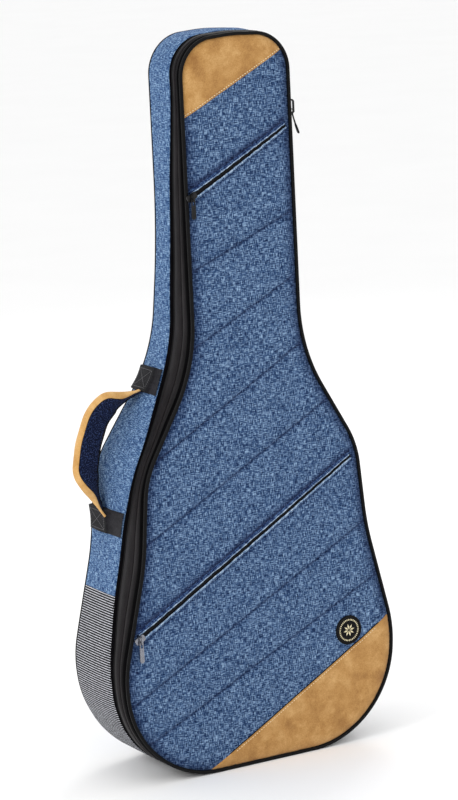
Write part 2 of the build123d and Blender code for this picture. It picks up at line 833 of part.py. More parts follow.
# pivots of the main pulls: inside the crown loops, against their outer limb
upper_pivot = (wall_x + 0.8 + upper_proud - 3.9, upper_y, main_slider_z[0] - 6.6)
lower_pivot = (wall_x + 0.8 + lower_proud - 3.9, lower_y, main_slider_z[1] - 6.6)

with BuildPart() as main_pull_upper:
    hung_pull(*upper_pivot, main_pull_len[0])
finish_node(main_pull_upper, "main_pull_upper")

with BuildPart() as main_pull_lower:
    hung_pull(*lower_pivot, main_pull_len[1])
finish_node(main_pull_lower, "main_pull_lower")

print("upper pivot", upper_pivot, "lower pivot", lower_pivot)


def pocket_slider(line, start):
    """Slider on a slanted pocket zip with an upright crown loop; start is the distance of its
    centre along the zip."""
    d, length = line_dir(*line)
    c = Vector(*line[0]) + d * start
    ang = math.degrees(math.atan2(d.Y, d.X))
    y0 = front_y - 2.0
    with BuildSketch(front(y0)) as sk:
        with Locations(Location((c.X, c.Y), ang)):
            RectangleRounded(17, 10, 3)
    extrude(sk.sketch, amount=1.8)
    with BuildSketch(Plane.YZ.offset(c.X - 1.0)) as sk:
        with BuildLine(Plane.XY) as line:
            Polyline((y0 - 1.8, c.Y + 7), (y0 - 6.4, c.Y + 5), (y0 - 7.4, c.Y + 3),
                     (y0 - 7.4, c.Y - 5), (y0 - 6.4, c.Y - 6.6), (y0 - 1.8, c.Y - 6.6), close=True)
        make_face(line.edges())
        with BuildLine(Plane.XY) as line:
            Polyline((y0 - 1.8, c.Y + 4.6), (y0 - 5.0, c.Y + 3.2), (y0 - 5.6, c.Y + 2),
                     (y0 - 5.6, c.Y - 4.6), (y0 - 1.8, c.Y - 4.6), close=True)
        make_face(line.edges(), mode=Mode.SUBTRACT)
    extrude(sk.sketch, amount=2.0)
    with BuildSketch(front(front_y - 0.6)) as sk:
        with Locations(Location((c.X, c.Y), ang)):
            Rectangle(9, 1.6)
    extrude(sk.sketch, amount=1.5)
    return c


def pocket_pull(c, length):
    """Pull hanging in front of the panel from a pocket slider's crown."""
    y = front_y - 2.0 - 4.3
    z = c.Y - 3.2
    with BuildSketch(Plane.YZ.offset(c.X - 3.0)) as sk:
        with Locations((y, z)):
            Circle(0.8)
    extrude(sk.sketch, amount=6.0)
    for s in (-1, 1):
        with BuildSketch(Plane.YZ.offset(c.X + s * 2.3 - 0.7)) as sk:
            with BuildLine(Plane.XY) as line:
                Polyline((y - 0.8, z), (y + 0.8, z), (y + 0.8, z - 9), (y - 0.8, z - 9), close=True)
            make_face(line.edges())
        extrude(sk.sketch, amount=1.4)
    with BuildSketch(front(y + 0.8)) as sk:
        with BuildLine(Plane.XY) as line:
            Polyline((c.X - 3.2, z - 8.6), (c.X + 3.2, z - 8.6), (c.X + 3.6, z - length + 3),
                     (c.X + 2, z - length), (c.X - 2, z - length), (c.X - 3.6, z - length + 3),
                     close=True)
        make_face(line.edges())
    extrude(sk.sketch, amount=1.6)
    return (c.X, y, z)


with BuildPart() as upper_pocket_slider:
    upper_c = pocket_slider(pocket_upper, -2.0)
finish_node(upper_pocket_slider, "upper_pocket_slider")
with BuildPart() as upper_pocket_pull:
    upper_p = pocket_pull(upper_c, 29.0)
finish_node(upper_pocket_pull, "upper_pocket_pull")

with BuildPart() as lower_pocket_slider:
    lower_c = pocket_slider(pocket_lower, -2.5)
finish_node(lower_pocket_slider, "lower_pocket_slider")
with BuildPart() as lower_pocket_pull:
    lower_p = pocket_pull(lower_c, 31.0)
finish_node(lower_pocket_pull, "lower_pocket_pull")

print("pocket pivots", upper_p, lower_p)
print("handle axis", tuple(handle_top), tuple(handle_bottom), "dir", tuple(chord), "len", chord_len)
print("half widths", {z: round(half_width(z), 2) for z in (100, 170, 245, 380, 480, 590, 700, 900)})
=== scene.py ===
"""Looks of the padded gig bag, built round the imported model. Metres, row frame: +Z up, front towards -Y."""
import math

import bpy
import bmesh
import numpy as np
from mathutils import Matrix, Vector, noise


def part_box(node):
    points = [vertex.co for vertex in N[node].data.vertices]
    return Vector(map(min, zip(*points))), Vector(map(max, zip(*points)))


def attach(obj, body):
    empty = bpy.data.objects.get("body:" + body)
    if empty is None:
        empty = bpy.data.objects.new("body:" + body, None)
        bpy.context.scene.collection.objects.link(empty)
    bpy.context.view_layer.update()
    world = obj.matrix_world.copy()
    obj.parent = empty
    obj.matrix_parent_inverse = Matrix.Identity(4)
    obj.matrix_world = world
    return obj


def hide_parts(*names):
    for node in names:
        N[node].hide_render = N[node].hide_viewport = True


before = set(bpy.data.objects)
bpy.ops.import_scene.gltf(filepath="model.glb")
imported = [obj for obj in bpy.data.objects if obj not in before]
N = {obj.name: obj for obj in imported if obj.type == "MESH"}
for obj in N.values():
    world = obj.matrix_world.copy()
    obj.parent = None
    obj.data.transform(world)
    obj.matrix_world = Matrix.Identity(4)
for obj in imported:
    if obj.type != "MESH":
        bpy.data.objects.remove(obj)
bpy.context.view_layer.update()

MM = 0.001
rng = np.random.default_rng(7)


def lin(r, g, b):
    """sRGB 0..255 to linear."""
    return tuple(((c / 255) / 12.92 if c / 255 <= 0.04045 else ((c / 255 + 0.055) / 1.055) ** 2.4) for c in (r, g, b)) + (1.0,)


# =====================================================================================
# camera, light, stage
# =====================================================================================
cam_data = bpy.data.cameras.new("camera")
cam = bpy.data.objects.new("camera", cam_data)
bpy.context.scene.collection.objects.link(cam)
right = Vector((0.86119986, -0.50601634, -0.04777295))
up = Vector((0.1408797, 0.14733868, 0.97900165))
back = Vector((-0.48835203, -0.84984632, 0.19817548))
m = Matrix((right, up, back)).transposed().to_4x4()
m.translation = Vector((-2.27838, -3.98222, 1.46873))
cam.matrix_world = m
cam_data.lens = 141.52
cam_data.sensor_width = 36
cam_data.clip_end = 50
bpy.context.scene.camera = cam
bpy.context.scene.view_settings.view_transform = "Standard"

world = bpy.data.worlds.new("world")
bpy.context.scene.world = world
world.use_nodes = True
bg = world.node_tree.nodes["Background"]
bg.inputs["Color"].default_value = (1.0, 1.0, 1.0, 1)
bg.inputs["Strength"].default_value = 1.0


def area(name, loc, target, size, power, colour=(1, 1, 1)):
    d = bpy.data.lights.new(name, "AREA")
    d.shape = "RECTANGLE"
    d.size, d.size_y = size
    d.energy = power
    d.color = colour
    o = bpy.data.objects.new(name, d)
    bpy.context.scene.collection.objects.link(o)
    o.location = loc
    o.rotation_euler = (Vector(target) - Vector(loc)).to_track_quat("-Z", "Y").to_euler()
    return o


area("key", (-2.9, -0.7, 2.3), (0, 0, 0.5), (1.2, 1.2), 30)
area("front", (0.6, -3.4, 2.6), (0, 0, 0.5), (1.4, 1.4), 10)
area("rim", (1.8, 1.8, 2.4), (0, 0, 0.6), (1.2, 1.2), 22)


# =====================================================================================
# outline
# =====================================================================================
V = [(222, 0), (233.5, 173), (193.7, 336), (182.4, 462.6), (92.6, 619), (92, 1087), (0, 1093), (-92, 1087),
     (-92.6, 619), (-182.4, 462.6), (-193.7, 336), (-233.5, 173), (-222, 0)]
R = [150, 190, 400, 144, 249, 58.6, 250, 58.6, 249, 144, 400, 190, 150]


def rounded(points, radii, closed=True, step=0.5):
    """Polygon with rounded corners as dense points."""
    P = np.array(points, float)
    n = len(P)
    out = []
    for i in range(n):
        if not closed and i in (0, n - 1):
            out.append(P[i][None])
            continue
        a, b, c = P[i - 1], P[i], P[(i + 1) % n]
        d1 = (b - a) / np.linalg.norm(b - a)
        d2 = (c - b) / np.linalg.norm(c - b)
        ang = math.acos(np.clip(d1 @ d2, -1, 1))
        r = radii[i]
        t = r * math.tan(ang / 2)
        bis = (d2 - d1) / np.linalg.norm(d2 - d1)
        cen = b + bis * r / math.cos(ang / 2)
        p1 = b - d1 * t - cen
        p2 = b + d2 * t - cen
        a1 = math.atan2(p1[1], p1[0])
        da = (math.atan2(p2[1], p2[0]) - a1 + math.pi) % (2 * math.pi) - math.pi
        k = np.linspace(0, 1, max(3, int(abs(da) * r / step)))
        out.append(np.c_[cen[0] + r * np.cos(a1 + da * k), cen[1] + r * np.sin(a1 + da * k)])
    q = np.vstack(out)
    if closed:
        q = np.vstack([q, q[:1]])
    return q


def resample(q, n, closed=True):
    d = np.r_[0, np.cumsum(np.linalg.norm(np.diff(q, axis=0), axis=1))]
    s = np.linspace(0, d[-1], n + 1)[:-1] if closed else np.linspace(0, d[-1], n)
    return np.c_[np.interp(s, d, q[:, 0]), np.interp(s, d, q[:, 1])], s, d[-1]


dense = rounded(V, R)
i0 = int(np.argmin(np.hypot(dense[:, 0] - 0, dense[:, 1] - 0)))
# start at the bottom centre: insert it on the flat bottom
start = np.array([[0.0, 0.0]])
loop = np.vstack([start, dense[:-1], start])
NP = 800
P, S, PERIM = resample(loop, NP)
T = np.roll(P, -1, axis=0) - np.roll(P, 1, axis=0)
T /= np.linalg.norm(T, axis=1)[:, None]
NRM = np.c_[T[:, 1], -T[:, 0]]
down = np.clip(-NRM[:, 1], 0, 1)
topness = np.clip(NRM[:, 1], 0, 1)

# back face: depth of the back along the height
_bk = rounded([(82, -200), (82, 434), (11, 806), (11, 1300)], [0, 900, 900, 0], closed=False)


def back_y(z):
    return np.interp(z, _bk[:, 1], _bk[:, 0])


# black band: where the woven side begins, measured from the front plane
_bb = np.array([(1093, 35), (1057, 35), (1030, 31), (1001, 32), (957, 37), (884, 47), (796, 54), (721, 63), (661, 68),
                (620, 69), (575, 68), (549, 59), (523, 50), (497, 43), (469, 40), (440, 46), (408, 57), (376, 67),
                (346, 70), (316, 72), (288, 70), (259, 67), (231, 62), (203, 56), (175, 51), (145, 48), (114, 48),
                (80, 50), (42, 53), (0, 54)], float)[::-1]


def band(z):
    b = np.interp(z, _bb[:, 0], _bb[:, 1])
    return b


def smooth_loop(a, k=7):
    for _ in range(3):
        a = np.convolve(np.r_[a[-k:], a, a[:k]], np.ones(2 * k + 1) / (2 * k + 1), "same")[k:-k]
    return a


BB = smooth_loop(band(P[:, 1]), 5)
SD = np.clip(0.42 * BB, 14, 28)          # depth of the parting line of the zip
AD = np.clip(0.24 * BB, 8.5, 13)         # end of the lid's tape
CD = BB - np.clip(0.26 * BB, 10, 15)     # start of the ribbed binding


def sstep(x, a, b):
    t = np.clip((x - a) / (b - a), 0, 1)
    return t * t * (3 - 2 * t)


YB = back_y(P[:, 1])
RB = 8 + 16 * (1 - sstep(P[:, 1], 30, 210)) - 2 * sstep(P[:, 1], 500, 900)
RB = smooth_loop(RB, 6)
BULGE = (2.5 + np.where(P[:, 0] > 0, 11.0, 1.5) * sstep(P[:, 1], 300, 400) * (1 - sstep(P[:, 1], 620, 760))) * (1 - sstep(down, 0.3, 0.9))
BULGE = smooth_loop(BULGE, 8)


YBD = YB + 82.0


def wall_off(i, d):
    """How far the side wall stands outside the outline at perimeter index i and depth d (mm)."""
    i = np.asarray(i) % NP
    t = np.clip((d - BB[i] - 1.8) / (YBD[i] - RB[i] - BB[i] - 1.8), 0, 1)
    return BULGE[i] * 0.9 * np.sin(math.pi * np.minimum(t * 0.86, 1.0)) ** 0.8 * (1 - 0.45 * t)


# =====================================================================================
# mesh helpers
# =====================================================================================
def new_mesh(name, verts, faces, mat_index=None, mats=(), smooth=True, attrs=None):
    me = bpy.data.meshes.new(name)
    me.from_pydata([tuple(v) for v in np.asarray(verts, float)], [], [tuple(int(i) for i in f) for f in faces])
    me.validate(clean_customdata=False)
    for mt in mats:
        me.materials.append(mt)
    if mat_index is not None and len(me.polygons) == len(mat_index):
        me.polygons.foreach_set("material_index", np.asarray(mat_index, np.int32))
    if smooth:
        me.polygons.foreach_set("use_smooth", np.ones(len(me.polygons), bool))
    if attrs is not None:
        for k, a in attrs.items():
            at = me.attributes.new(k, "FLOAT_VECTOR", "POINT")
            at.data.foreach_set("vector", np.asarray(a, np.float32).ravel())
    me.update()
    o = bpy.data.objects.new(name, me)
    bpy.context.scene.collection.objects.link(o)
    return o


def grid_faces(nr, nc, wrap_r=False, wrap_c=False, flip=False):
    f = []
    for i in range(nr if wrap_r else nr - 1):
        i2 = (i + 1) % nr
        for j in range(nc if wrap_c else nc - 1):
            j2 = (j + 1) % nc
            q = (i * nc + j, i * nc + j2, i2 * nc + j2, i2 * nc + j)
            f.append(q[::-1] if flip else q)
    return f


def ring_loft(name, rows, mats, row_mat, close=False, z_mat=None, flip=False, cloth_depth=True):
    """Loft round the bag. rows: list of (offset, depth), each a number or one value per perimeter point."""
    M = len(rows)
    off = np.array([np.broadcast_to(np.asarray(r[0], float), (NP,)) for r in rows]).T
    dep = np.array([np.broadcast_to(np.asarray(r[1], float), (NP,)) for r in rows]).T
    x = P[:, 0, None] + NRM[:, 0, None] * off
    z = P[:, 1, None] + NRM[:, 1, None] * off
    y = -82 + dep
    verts = np.stack([x, y, z], -1).reshape(-1, 3) * MM
    faces = grid_faces(NP, M, wrap_r=True, wrap_c=close, flip=flip)
    mi = []
    for i in range(NP):
        zc = P[i, 1]
        for j in range(M if close else M - 1):
            k = row_mat[j]
            if z_mat is not None and k == z_mat[0] and zc < z_mat[1]:
                k = z_mat[2]
            mi.append(k)
    # cloth coordinates: along the perimeter, across the depth
    arc = np.cumsum(np.hypot(np.diff(off, axis=1, prepend=off[:, :1]), np.diff(dep, axis=1, prepend=dep[:, :1])), axis=1)
    cl = np.stack([np.broadcast_to(S[:, None], x.shape), dep[:, :1] + arc, np.zeros_like(x)], -1).reshape(-1, 3) * MM
    return new_mesh(name, verts, faces, mi, mats, attrs={"cl": cl})


def tube(name, pts, radius, mat, closed=False, sides=10, squash=1.0, normal=None, cap=True):
    """Tube along points (metres); radius a number or one per point."""
    pts = np.asarray(pts, float)
    n = len(pts)
    if closed:
        t = np.roll(pts, -1, 0) - np.roll(pts, 1, 0)
    else:
        t = np.gradient(pts, axis=0)
    t /= np.linalg.norm(t, axis=1)[:, None] + 1e-12
    ref = np.array([0, 1, 0.0]) if normal is None else np.asarray(normal, float)
    ref = np.broadcast_to(ref, pts.shape)
    b = ref - (ref * t).sum(1)[:, None] * t
    b /= np.linalg.norm(b, axis=1)[:, None] + 1e-12
    c = np.cross(t, b)
    r = np.broadcast_to(np.asarray(radius, float), (n,))
    a = np.linspace(0, 2 * math.pi, sides, endpoint=False)
    v = pts[:, None] + r[:, None, None] * (np.cos(a)[None, :, None] * b[:, None] * squash + np.sin(a)[None, :, None] * c[:, None])
    verts = v.reshape(-1, 3)
    faces = grid_faces(n, sides, wrap_r=closed, wrap_c=True)
    if not closed and cap:
        faces.append(tuple(range(sides))[::-1])
        faces.append(tuple((n - 1) * sides + k for k in range(sides)))
    length = np.r_[0, np.cumsum(np.linalg.norm(np.diff(pts, axis=0), axis=1))]
    cl = np.stack([np.broadcast_to(length[:, None], (n, sides)), np.broadcast_to(a[None] * r.mean(), (n, sides)),
                   np.zeros((n, sides))], -1).reshape(-1, 3)
    return new_mesh(name, verts, faces, None, [mat], attrs={"cl": cl})


def stitches(name, pts, normals, mat, length=2.6, gap=1.5, r=0.42, lift=0.35):
    """Separate thread stitches along a path in metres, lying on a surface with these normals."""
    pts = np.asarray(pts, float)
    normals = np.broadcast_to(np.asarray(normals, float), pts.shape)
    d = np.r_[0, np.cumsum(np.linalg.norm(np.diff(pts, axis=0), axis=1))]
    pitch = (length + gap) * MM
    k = int(d[-1] / pitch)
    if k < 1:
        return None
    verts, faces = [], []
    for i in range(k):
        s0 = (i + 0.15) * pitch
        s = np.array([s0, s0 + 0.2 * length * MM, s0 + 0.8 * length * MM, s0 + length * MM])
        c = np.stack([np.interp(s, d, pts[:, a]) for a in range(3)], -1)
        nn = np.stack([np.interp(s, d, normals[:, a]) for a in range(3)], -1)
        nn /= np.linalg.norm(nn, axis=1)[:, None]
        t = c[-1] - c[0]
        t /= np.linalg.norm(t)
        side = np.cross(t, nn)
        rr = np.array([0.25, 1, 1, 0.25]) * r * MM
        li = np.array([-0.1, 1, 1, -0.1]) * lift * MM
        base = len(verts)
        for q in range(4):
            for a in np.linspace(0, 2 * math.pi, 6, endpoint=False):
                verts.append(c[q] + nn[q] * li[q] + rr[q] * (math.cos(a) * side[q] + math.sin(a) * nn[q]))
        for q in range(3):
            for a in range(6):
                faces.append((base + q * 6 + a, base + q * 6 + (a + 1) % 6, base + (q + 1) * 6 + (a + 1) % 6, base + (q + 1) * 6 + a))
        faces.append(tuple(base + a for a in range(6))[::-1])
        faces.append(tuple(base + 18 + a for a in range(6)))
    return new_mesh(name, verts, faces, None, [mat])


# =====================================================================================
# materials
# =====================================================================================
class NT:
    def __init__(self, name, rough=0.8, sheen=0.0, spec=0.5, metal=0.0, coat=0.0):
        self.m = bpy.data.materials.new(name)
        self.m.use_nodes = True
        self.t = self.m.node_tree
        self.b = self.t.nodes["Principled BSDF"]
        self.b.inputs["Roughness"].default_value = rough
        self.b.inputs["Sheen Weight"].default_value = sheen
        self.b.inputs["Sheen Roughness"].default_value = 0.5
        self.b.inputs["Specular IOR Level"].default_value = spec
        self.b.inputs["Metallic"].default_value = metal
        self.b.inputs["Coat Weight"].default_value = coat

    def n(self, kind, **kw):
        o = self.t.nodes.new(kind)
        for k, v in kw.items():
            if k in o.inputs.keys():
                o.inputs[k].default_value = v
            else:
                setattr(o, k, v)
        return o

    def link(self, a, b):
        self.t.links.new(a, b)

    def coords(self, attr="cl", scale=(1, 1, 1), rot=(0, 0, 0)):
        if attr:
            a = self.n("ShaderNodeAttribute", attribute_name=attr)
            out = a.outputs["Vector"]
        else:
            a = self.n("ShaderNodeTexCoord")
            out = a.outputs["Object"]
        mp = self.n("ShaderNodeMapping")
        mp.inputs["Scale"].default_value = scale
        mp.inputs["Rotation"].default_value = rot
        self.link(out, mp.inputs["Vector"])
        return mp.outputs["Vector"]

    def noise(self, vec, scale=1.0, detail=2.0, rough=0.5):
        o = self.n("ShaderNodeTexNoise")
        o.inputs["Scale"].default_value = scale
        o.inputs["Detail"].default_value = detail
        o.inputs["Roughness"].default_value = rough
        self.link(vec, o.inputs["Vector"])
        return o.outputs["Fac"]

    def math(self, op, a, b=None, c=None):
        o = self.n("ShaderNodeMath", operation=op)
        for i, v in enumerate((a, b, c)):
            if v is None:
                continue
            if hasattr(v, "is_output"):
                self.link(v, o.inputs[i])
            else:
                o.inputs[i].default_value = v
        return o.outputs[0]

    def ramp(self, fac, stops):
        o = self.n("ShaderNodeValToRGB")
        e = o.color_ramp.elements
        while len(e) > 1:
            e.remove(e[-1])
        e[0].position, e[0].color = stops[0]
        for p, c in stops[1:]:
            x = e.new(p)
            x.color = c
        self.link(fac, o.inputs["Fac"])
        return o.outputs["Color"]

    def mix(self, fac, a, b, kind="MIX"):
        o = self.n("ShaderNodeMix", data_type="RGBA", blend_type=kind)
        for i, v in ((0, fac), (6, a), (7, b)):
            if hasattr(v, "is_output"):
                self.link(v, o.inputs[i])
            else:
                o.inputs[i].default_value = v
        return o.outputs[2]

    def bump(self, h, strength=0.3, dist=0.001):
        o = self.n("ShaderNodeBump")
        o.inputs["Strength"].default_value = strength
        o.inputs["Distance"].default_value = dist
        self.link(h, o.inputs["Height"])
        self.link(o.outputs["Normal"], self.b.inputs["Normal"])

    def colour(self, c):
        if hasattr(c, "is_output"):
            self.link(c, self.b.inputs["Base Color"])
        else:
            self.b.inputs["Base Color"].default_value = c


def denim(name, dark, mid, light, attr="cl", swap=False, k1=980, k2=120):
    """Melange woven cloth: uneven yarns both ways, coloured dark to light; a painted shade amount darkens the colour in
    edge rolls, seams and beside the pocket zips.
    """
    k = NT(name, rough=0.95, sheen=0.04, spec=0.1)
    warp = k.noise(k.coords(attr, (k1, k2, k1)), 1.0, 1.0, 0.5)
    weft = k.noise(k.coords(attr, (k2, k1, k1)), 1.0, 1.0, 0.5)
    tick = k.noise(k.coords(attr, (900, 900, 900)), 1.0, 1.0, 0.5)
    blot = k.noise(k.coords(attr, (30, 30, 30)), 1.0, 3, 0.6)
    f = k.math("MULTIPLY", k.math("ADD", warp, weft), 0.5)
    f = k.math("ADD", f, k.math("MULTIPLY", k.math("SUBTRACT", blot, 0.5), 0.08))
    f = k.math("ADD", f, k.math("MULTIPLY", k.math("SUBTRACT", tick, 0.5), 0.12))
    col = k.ramp(f, [(0.38, dark), (0.455, tuple(0.5 * (a_ + b_) for a_, b_ in zip(dark, mid))), (0.51, mid), (0.61, light)])
    # painted shade: the per-vertex shade amount multiplies the cloth colour darker, down to deep navy, where shadow
    # falls in edge rolls, seams and welt grooves
    painted_shade_amount = k.n("ShaderNodeAttribute", attribute_name="painted_shade_amount")
    painted_shade = k.ramp(painted_shade_amount.outputs["Fac"], [(0.0, (1, 1, 1, 1)), (0.5, (0.50, 0.53, 0.62, 1)), (1.0, (0.20, 0.22, 0.33, 1))])
    k.colour(k.mix(1.0, col, painted_shade, "MULTIPLY"))
    wv = k.coords(attr, (1, 1, 1))
    w1 = k.n("ShaderNodeTexWave", wave_type="BANDS", bands_direction="X")
    w1.inputs["Scale"].default_value = 300
    k.link(wv, w1.inputs["Vector"])
    w2 = k.n("ShaderNodeTexWave", wave_type="BANDS", bands_direction="Y")
    w2.inputs["Scale"].default_value = 300
    k.link(wv, w2.inputs["Vector"])
    h = k.math("ADD", k.math("MULTIPLY", w1.outputs["Fac"], w2.outputs["Fac"]), k.math("MULTIPLY", f, 2.2))
    k.bump(h, 0.6, 0.0007)
    return k.m


def suede(name, base, dark, light):
    k = NT(name, rough=0.95, sheen=0.25, spec=0.12)
    big = k.noise(k.coords(None, (26, 26, 26)), 1.0, 4, 0.65)
    fine = k.noise(k.coords(None, (560, 560, 560)), 1.0, 3, 0.7)
    f = k.math("ADD", k.math("MULTIPLY", big, 0.68), k.math("MULTIPLY", fine, 0.32))
    k.colour(k.ramp(f, [(0.34, dark), (0.5, base), (0.66, light)]))
    k.bump(k.math("ADD", fine, k.math("MULTIPLY", big, 0.5)), 0.35, 0.0006)
    return k.m


def tape(name, base, light, pitch=420, rough=0.62, attr="cl", amount=0.5, spec=0.35):
    """Woven black tape: fine ribs along its length."""
    k = NT(name, rough=rough, sheen=0.0, spec=spec * 0.4)
    fine = k.noise(k.coords(attr, (900, 300, 900)), 1.0, 2, 0.6)
    w = k.n("ShaderNodeTexWave", wave_type="BANDS", bands_direction="X")
    w.inputs["Scale"].default_value = pitch
    k.link(k.coords(attr, (1, 1, 1)), w.inputs["Vector"])
    worn = k.noise(k.coords(attr, (30, 60, 30)), 1.0, 3, 0.6)
    f = k.math("ADD", k.math("MULTIPLY", fine, 0.5), k.math("MULTIPLY", worn, 0.5))
    k.colour(k.ramp(f, [(0.35, base), (0.72, light)]))
    k.bump(k.math("ADD", w.outputs["Fac"], fine), amount, 0.0004)
    return k.m


def plain(name, base, light, rough=0.4, metal=0.0, spec=0.4, grain=260, coat=0.0, bump=0.1, sheen=0.0):
    k = NT(name, rough=rough, metal=metal, spec=spec, coat=coat, sheen=sheen)
    f = k.noise(k.coords(None, (grain, grain, grain)), 1.0, 3, 0.6)
    k.colour(k.ramp(f, [(0.35, base), (0.7, light)]))
    rr = k.n("ShaderNodeMapRange")
    k.link(f, rr.inputs["Value"])
    rr.inputs["To Min"].default_value = max(0.05, rough - 0.08)
    rr.inputs["To Max"].default_value = min(1.0, rough + 0.08)
    k.link(rr.outputs["Result"], k.b.inputs["Roughness"])
    k.bump(f, bump, 0.0003)
    return k.m


def ribbed(name):
    """Guard cloth: rows of pale dashes on black, running across the side."""
    k = NT(name, rough=0.75, sheen=0.03, spec=0.25)
    rows = k.n("ShaderNodeTexWave", wave_type="BANDS", bands_direction="X")
    rows.inputs["Scale"].default_value = 86.0
    dash = k.n("ShaderNodeTexWave", wave_type="BANDS", bands_direction="Y")
    dash.inputs["Scale"].default_value = 130.0
    v = k.coords("cl", (1, 1, 1))
    k.link(v, rows.inputs["Vector"])
    k.link(v, dash.inputs["Vector"])
    var = k.noise(k.coords("cl", (420, 160, 420)), 1.0, 2, 0.6)
    f = k.math("MULTIPLY", rows.outputs["Fac"], k.math("ADD", k.math("MULTIPLY", dash.outputs["Fac"], 0.3), 0.7))
    f = k.math("ADD", f, k.math("MULTIPLY", k.math("SUBTRACT", var, 0.5), 0.4))
    k.colour(k.ramp(f, [(0.60, lin(1, 1, 3)), (0.67, lin(50, 50, 58)), (0.76, lin(216, 218, 226))]))
    k.bump(f, 0.5, 0.0006)
    return k.m


M_FRONT = denim("front_cloth", lin(14, 30, 66), lin(56, 86, 128), lin(144, 172, 204))
M_SIDE = denim("side_cloth", lin(24, 50, 96), lin(68, 103, 148), lin(150, 180, 212))
M_BACKC = denim("back_cloth", lin(28, 52, 94), lin(70, 102, 144), lin(146, 174, 206))
# darker copy of the front denim for the upper pocket welt: painted shade
M_WELT_SHADED = denim("welt_cloth_painted_shade", lin(8, 18, 52), lin(30, 54, 100), lin(92, 122, 164))
# paler copy of the denim for the rolled welt edges: painted highlight
M_FOLD_HIGHLIGHT = denim("welt_fold_painted_highlight", lin(84, 112, 150), lin(138, 164, 196), lin(206, 222, 238))
M_NAVY = denim("navy_cloth", lin(3, 7, 24), lin(13, 24, 58), lin(62, 80, 126), k1=600, k2=300)
M_SUEDE = suede("suede", lin(178, 133, 76), lin(146, 102, 54), lin(206, 164, 108))
M_SUEDEH = suede("suede_handle", lin(204, 158, 96), lin(180, 132, 72), lin(222, 184, 128))
M_GUARD = ribbed("guard_cloth")
M_TAPE = tape("black_tape", lin(1, 1, 2), lin(11, 10, 12), 420, spec=0.02)
M_BIND = tape("ribbed_binding", lin(1, 1, 2), lin(15, 13, 16), 210, rough=0.75, amount=0.8, spec=0.02)
M_ZIP = tape("smooth_zip", lin(15, 13, 15), lin(38, 35, 37), 900, rough=0.5, amount=0.2, spec=0.15)
M_COIL = plain("coil_nylon", lin(4, 4, 5), lin(14, 14, 16), rough=0.5, bump=0.2, spec=0.12)
M_PIPE = plain("piping_black", lin(3, 3, 4), lin(12, 12, 13), rough=0.5, bump=0.15, spec=0.12)
M_WEB = tape("webbing", lin(16, 15, 18), lin(50, 49, 54), 300, rough=0.65, amount=0.9, spec=0.25)
M_WEBG = tape("webbing_sheen", lin(22, 22, 25), lin(52, 51, 56), 300, rough=0.6, amount=0.5, spec=0.3)
M_LINING = plain("plush_lining", lin(40, 42, 50), lin(74, 78, 90), rough=0.95, grain=900, spec=0.1, bump=0.8, sheen=0.2)
M_MESH = tape("strap_mesh", lin(16, 17, 21), lin(50, 52, 60), 260, rough=0.85, amount=1.0, attr=None)
M_THREAD = plain("thread_pale", lin(226, 200, 156), lin(244, 226, 190), rough=0.7, grain=1500)
M_THREADB = plain("thread_grey", lin(70, 70, 74), lin(120, 120, 124), rough=0.6, grain=1500)
M_THREADN = plain("thread_blue", lin(10, 20, 48), lin(30, 48, 88), rough=0.8, grain=1500)
M_SLIDER = plain("slider_black", lin(10, 10, 11), lin(34, 34, 36), rough=0.3, metal=0.35, grain=120)
M_GUN = plain("slider_gunmetal", lin(104, 106, 114), lin(158, 160, 168), rough=0.22, metal=0.85, grain=900)
M_GREYW = tape("tab_webbing", lin(14, 14, 16), lin(40, 40, 44), 300, rough=0.6, amount=0.6, spec=0.3)
M_PLAST = plain("moulded_black", lin(18, 18, 19), lin(40, 40, 42), rough=0.42, grain=500)
M_BADGE = plain("badge_black", lin(4, 4, 5), lin(14, 14, 15), rough=0.5, grain=900, spec=0.1)
M_GOLD = plain("badge_gold", lin(206, 192, 148), lin(236, 226, 192), rough=0.4, metal=0.1, grain=400)

# =====================================================================================
# front panel surface
# =====================================================================================
front_line = P + NRM * -5.0
head_cut = (np.array([-88.8, 974.7]), np.array([81.2, 1061.8]))
foot_cut = (np.array([-64.0, 25.2]), np.array([205.9, 178.9]))
zips = {"upper": (np.array([-80.3, 862.8]), np.array([81.5, 950.2])), "lower": (np.array([-205.0, 228.4]), np.array([169.0, 444.8]))}
seams = [((-73, 758.6), (-4, 787.5)), ((-81.8, 645.8), (84.2, 729.4)), ((-153.8, 489.6), (81, 622)),
         ((-174.5, 369.4), (17.1, 474.2)), ((-54.2, 214.8), (141.8, 317.1)), ((-22, 147.5), (125.2, 217.4))]


def side_of(line, x, z):
    """Signed distance above a line (mm)."""
    a, b = np.asarray(line[0], float), np.asarray(line[1], float)
    d = (b - a) / np.linalg.norm(b - a)
    return -(x - a[0]) * d[1] + (z - a[1]) * d[0]


def along(line, x, z):
    a, b = np.asarray(line[0], float), np.asarray(line[1], float)
    d = (b - a) / np.linalg.norm(b - a)
    return (x - a[0]) * d[0] + (z - a[1]) * d[1]


def edge_distance(x, z, line=front_line):
    x, z = np.ravel(x), np.ravel(z)
    out = np.empty(len(x))
    for i in range(0, len(x), 4000):
        q = np.c_[x[i:i + 4000], z[i:i + 4000]]
        out[i:i + 4000] = np.sqrt(((q[:, None] - line[None]) ** 2).sum(-1)).min(1)
    return out


def fbm(x, z, scale, seed=0.0, octaves=3):
    """Smooth value noise by summed sines, the same each run."""
    g = np.random.default_rng(int(seed * 1000) + 11)
    out = np.zeros_like(x, float)
    amp, tot = 1.0, 0.0
    for o in range(octaves):
        for _ in range(5):
            a = g.uniform(0, 2 * math.pi)
            f = 2 * math.pi / scale * (1.9 ** o) * g.uniform(0.7, 1.3)
            out += amp * np.sin(f * (x * math.cos(a) + z * math.sin(a)) + g.uniform(0, 6.28))
        tot += amp * 5
        amp *= 0.55
    return out / tot * 2.2


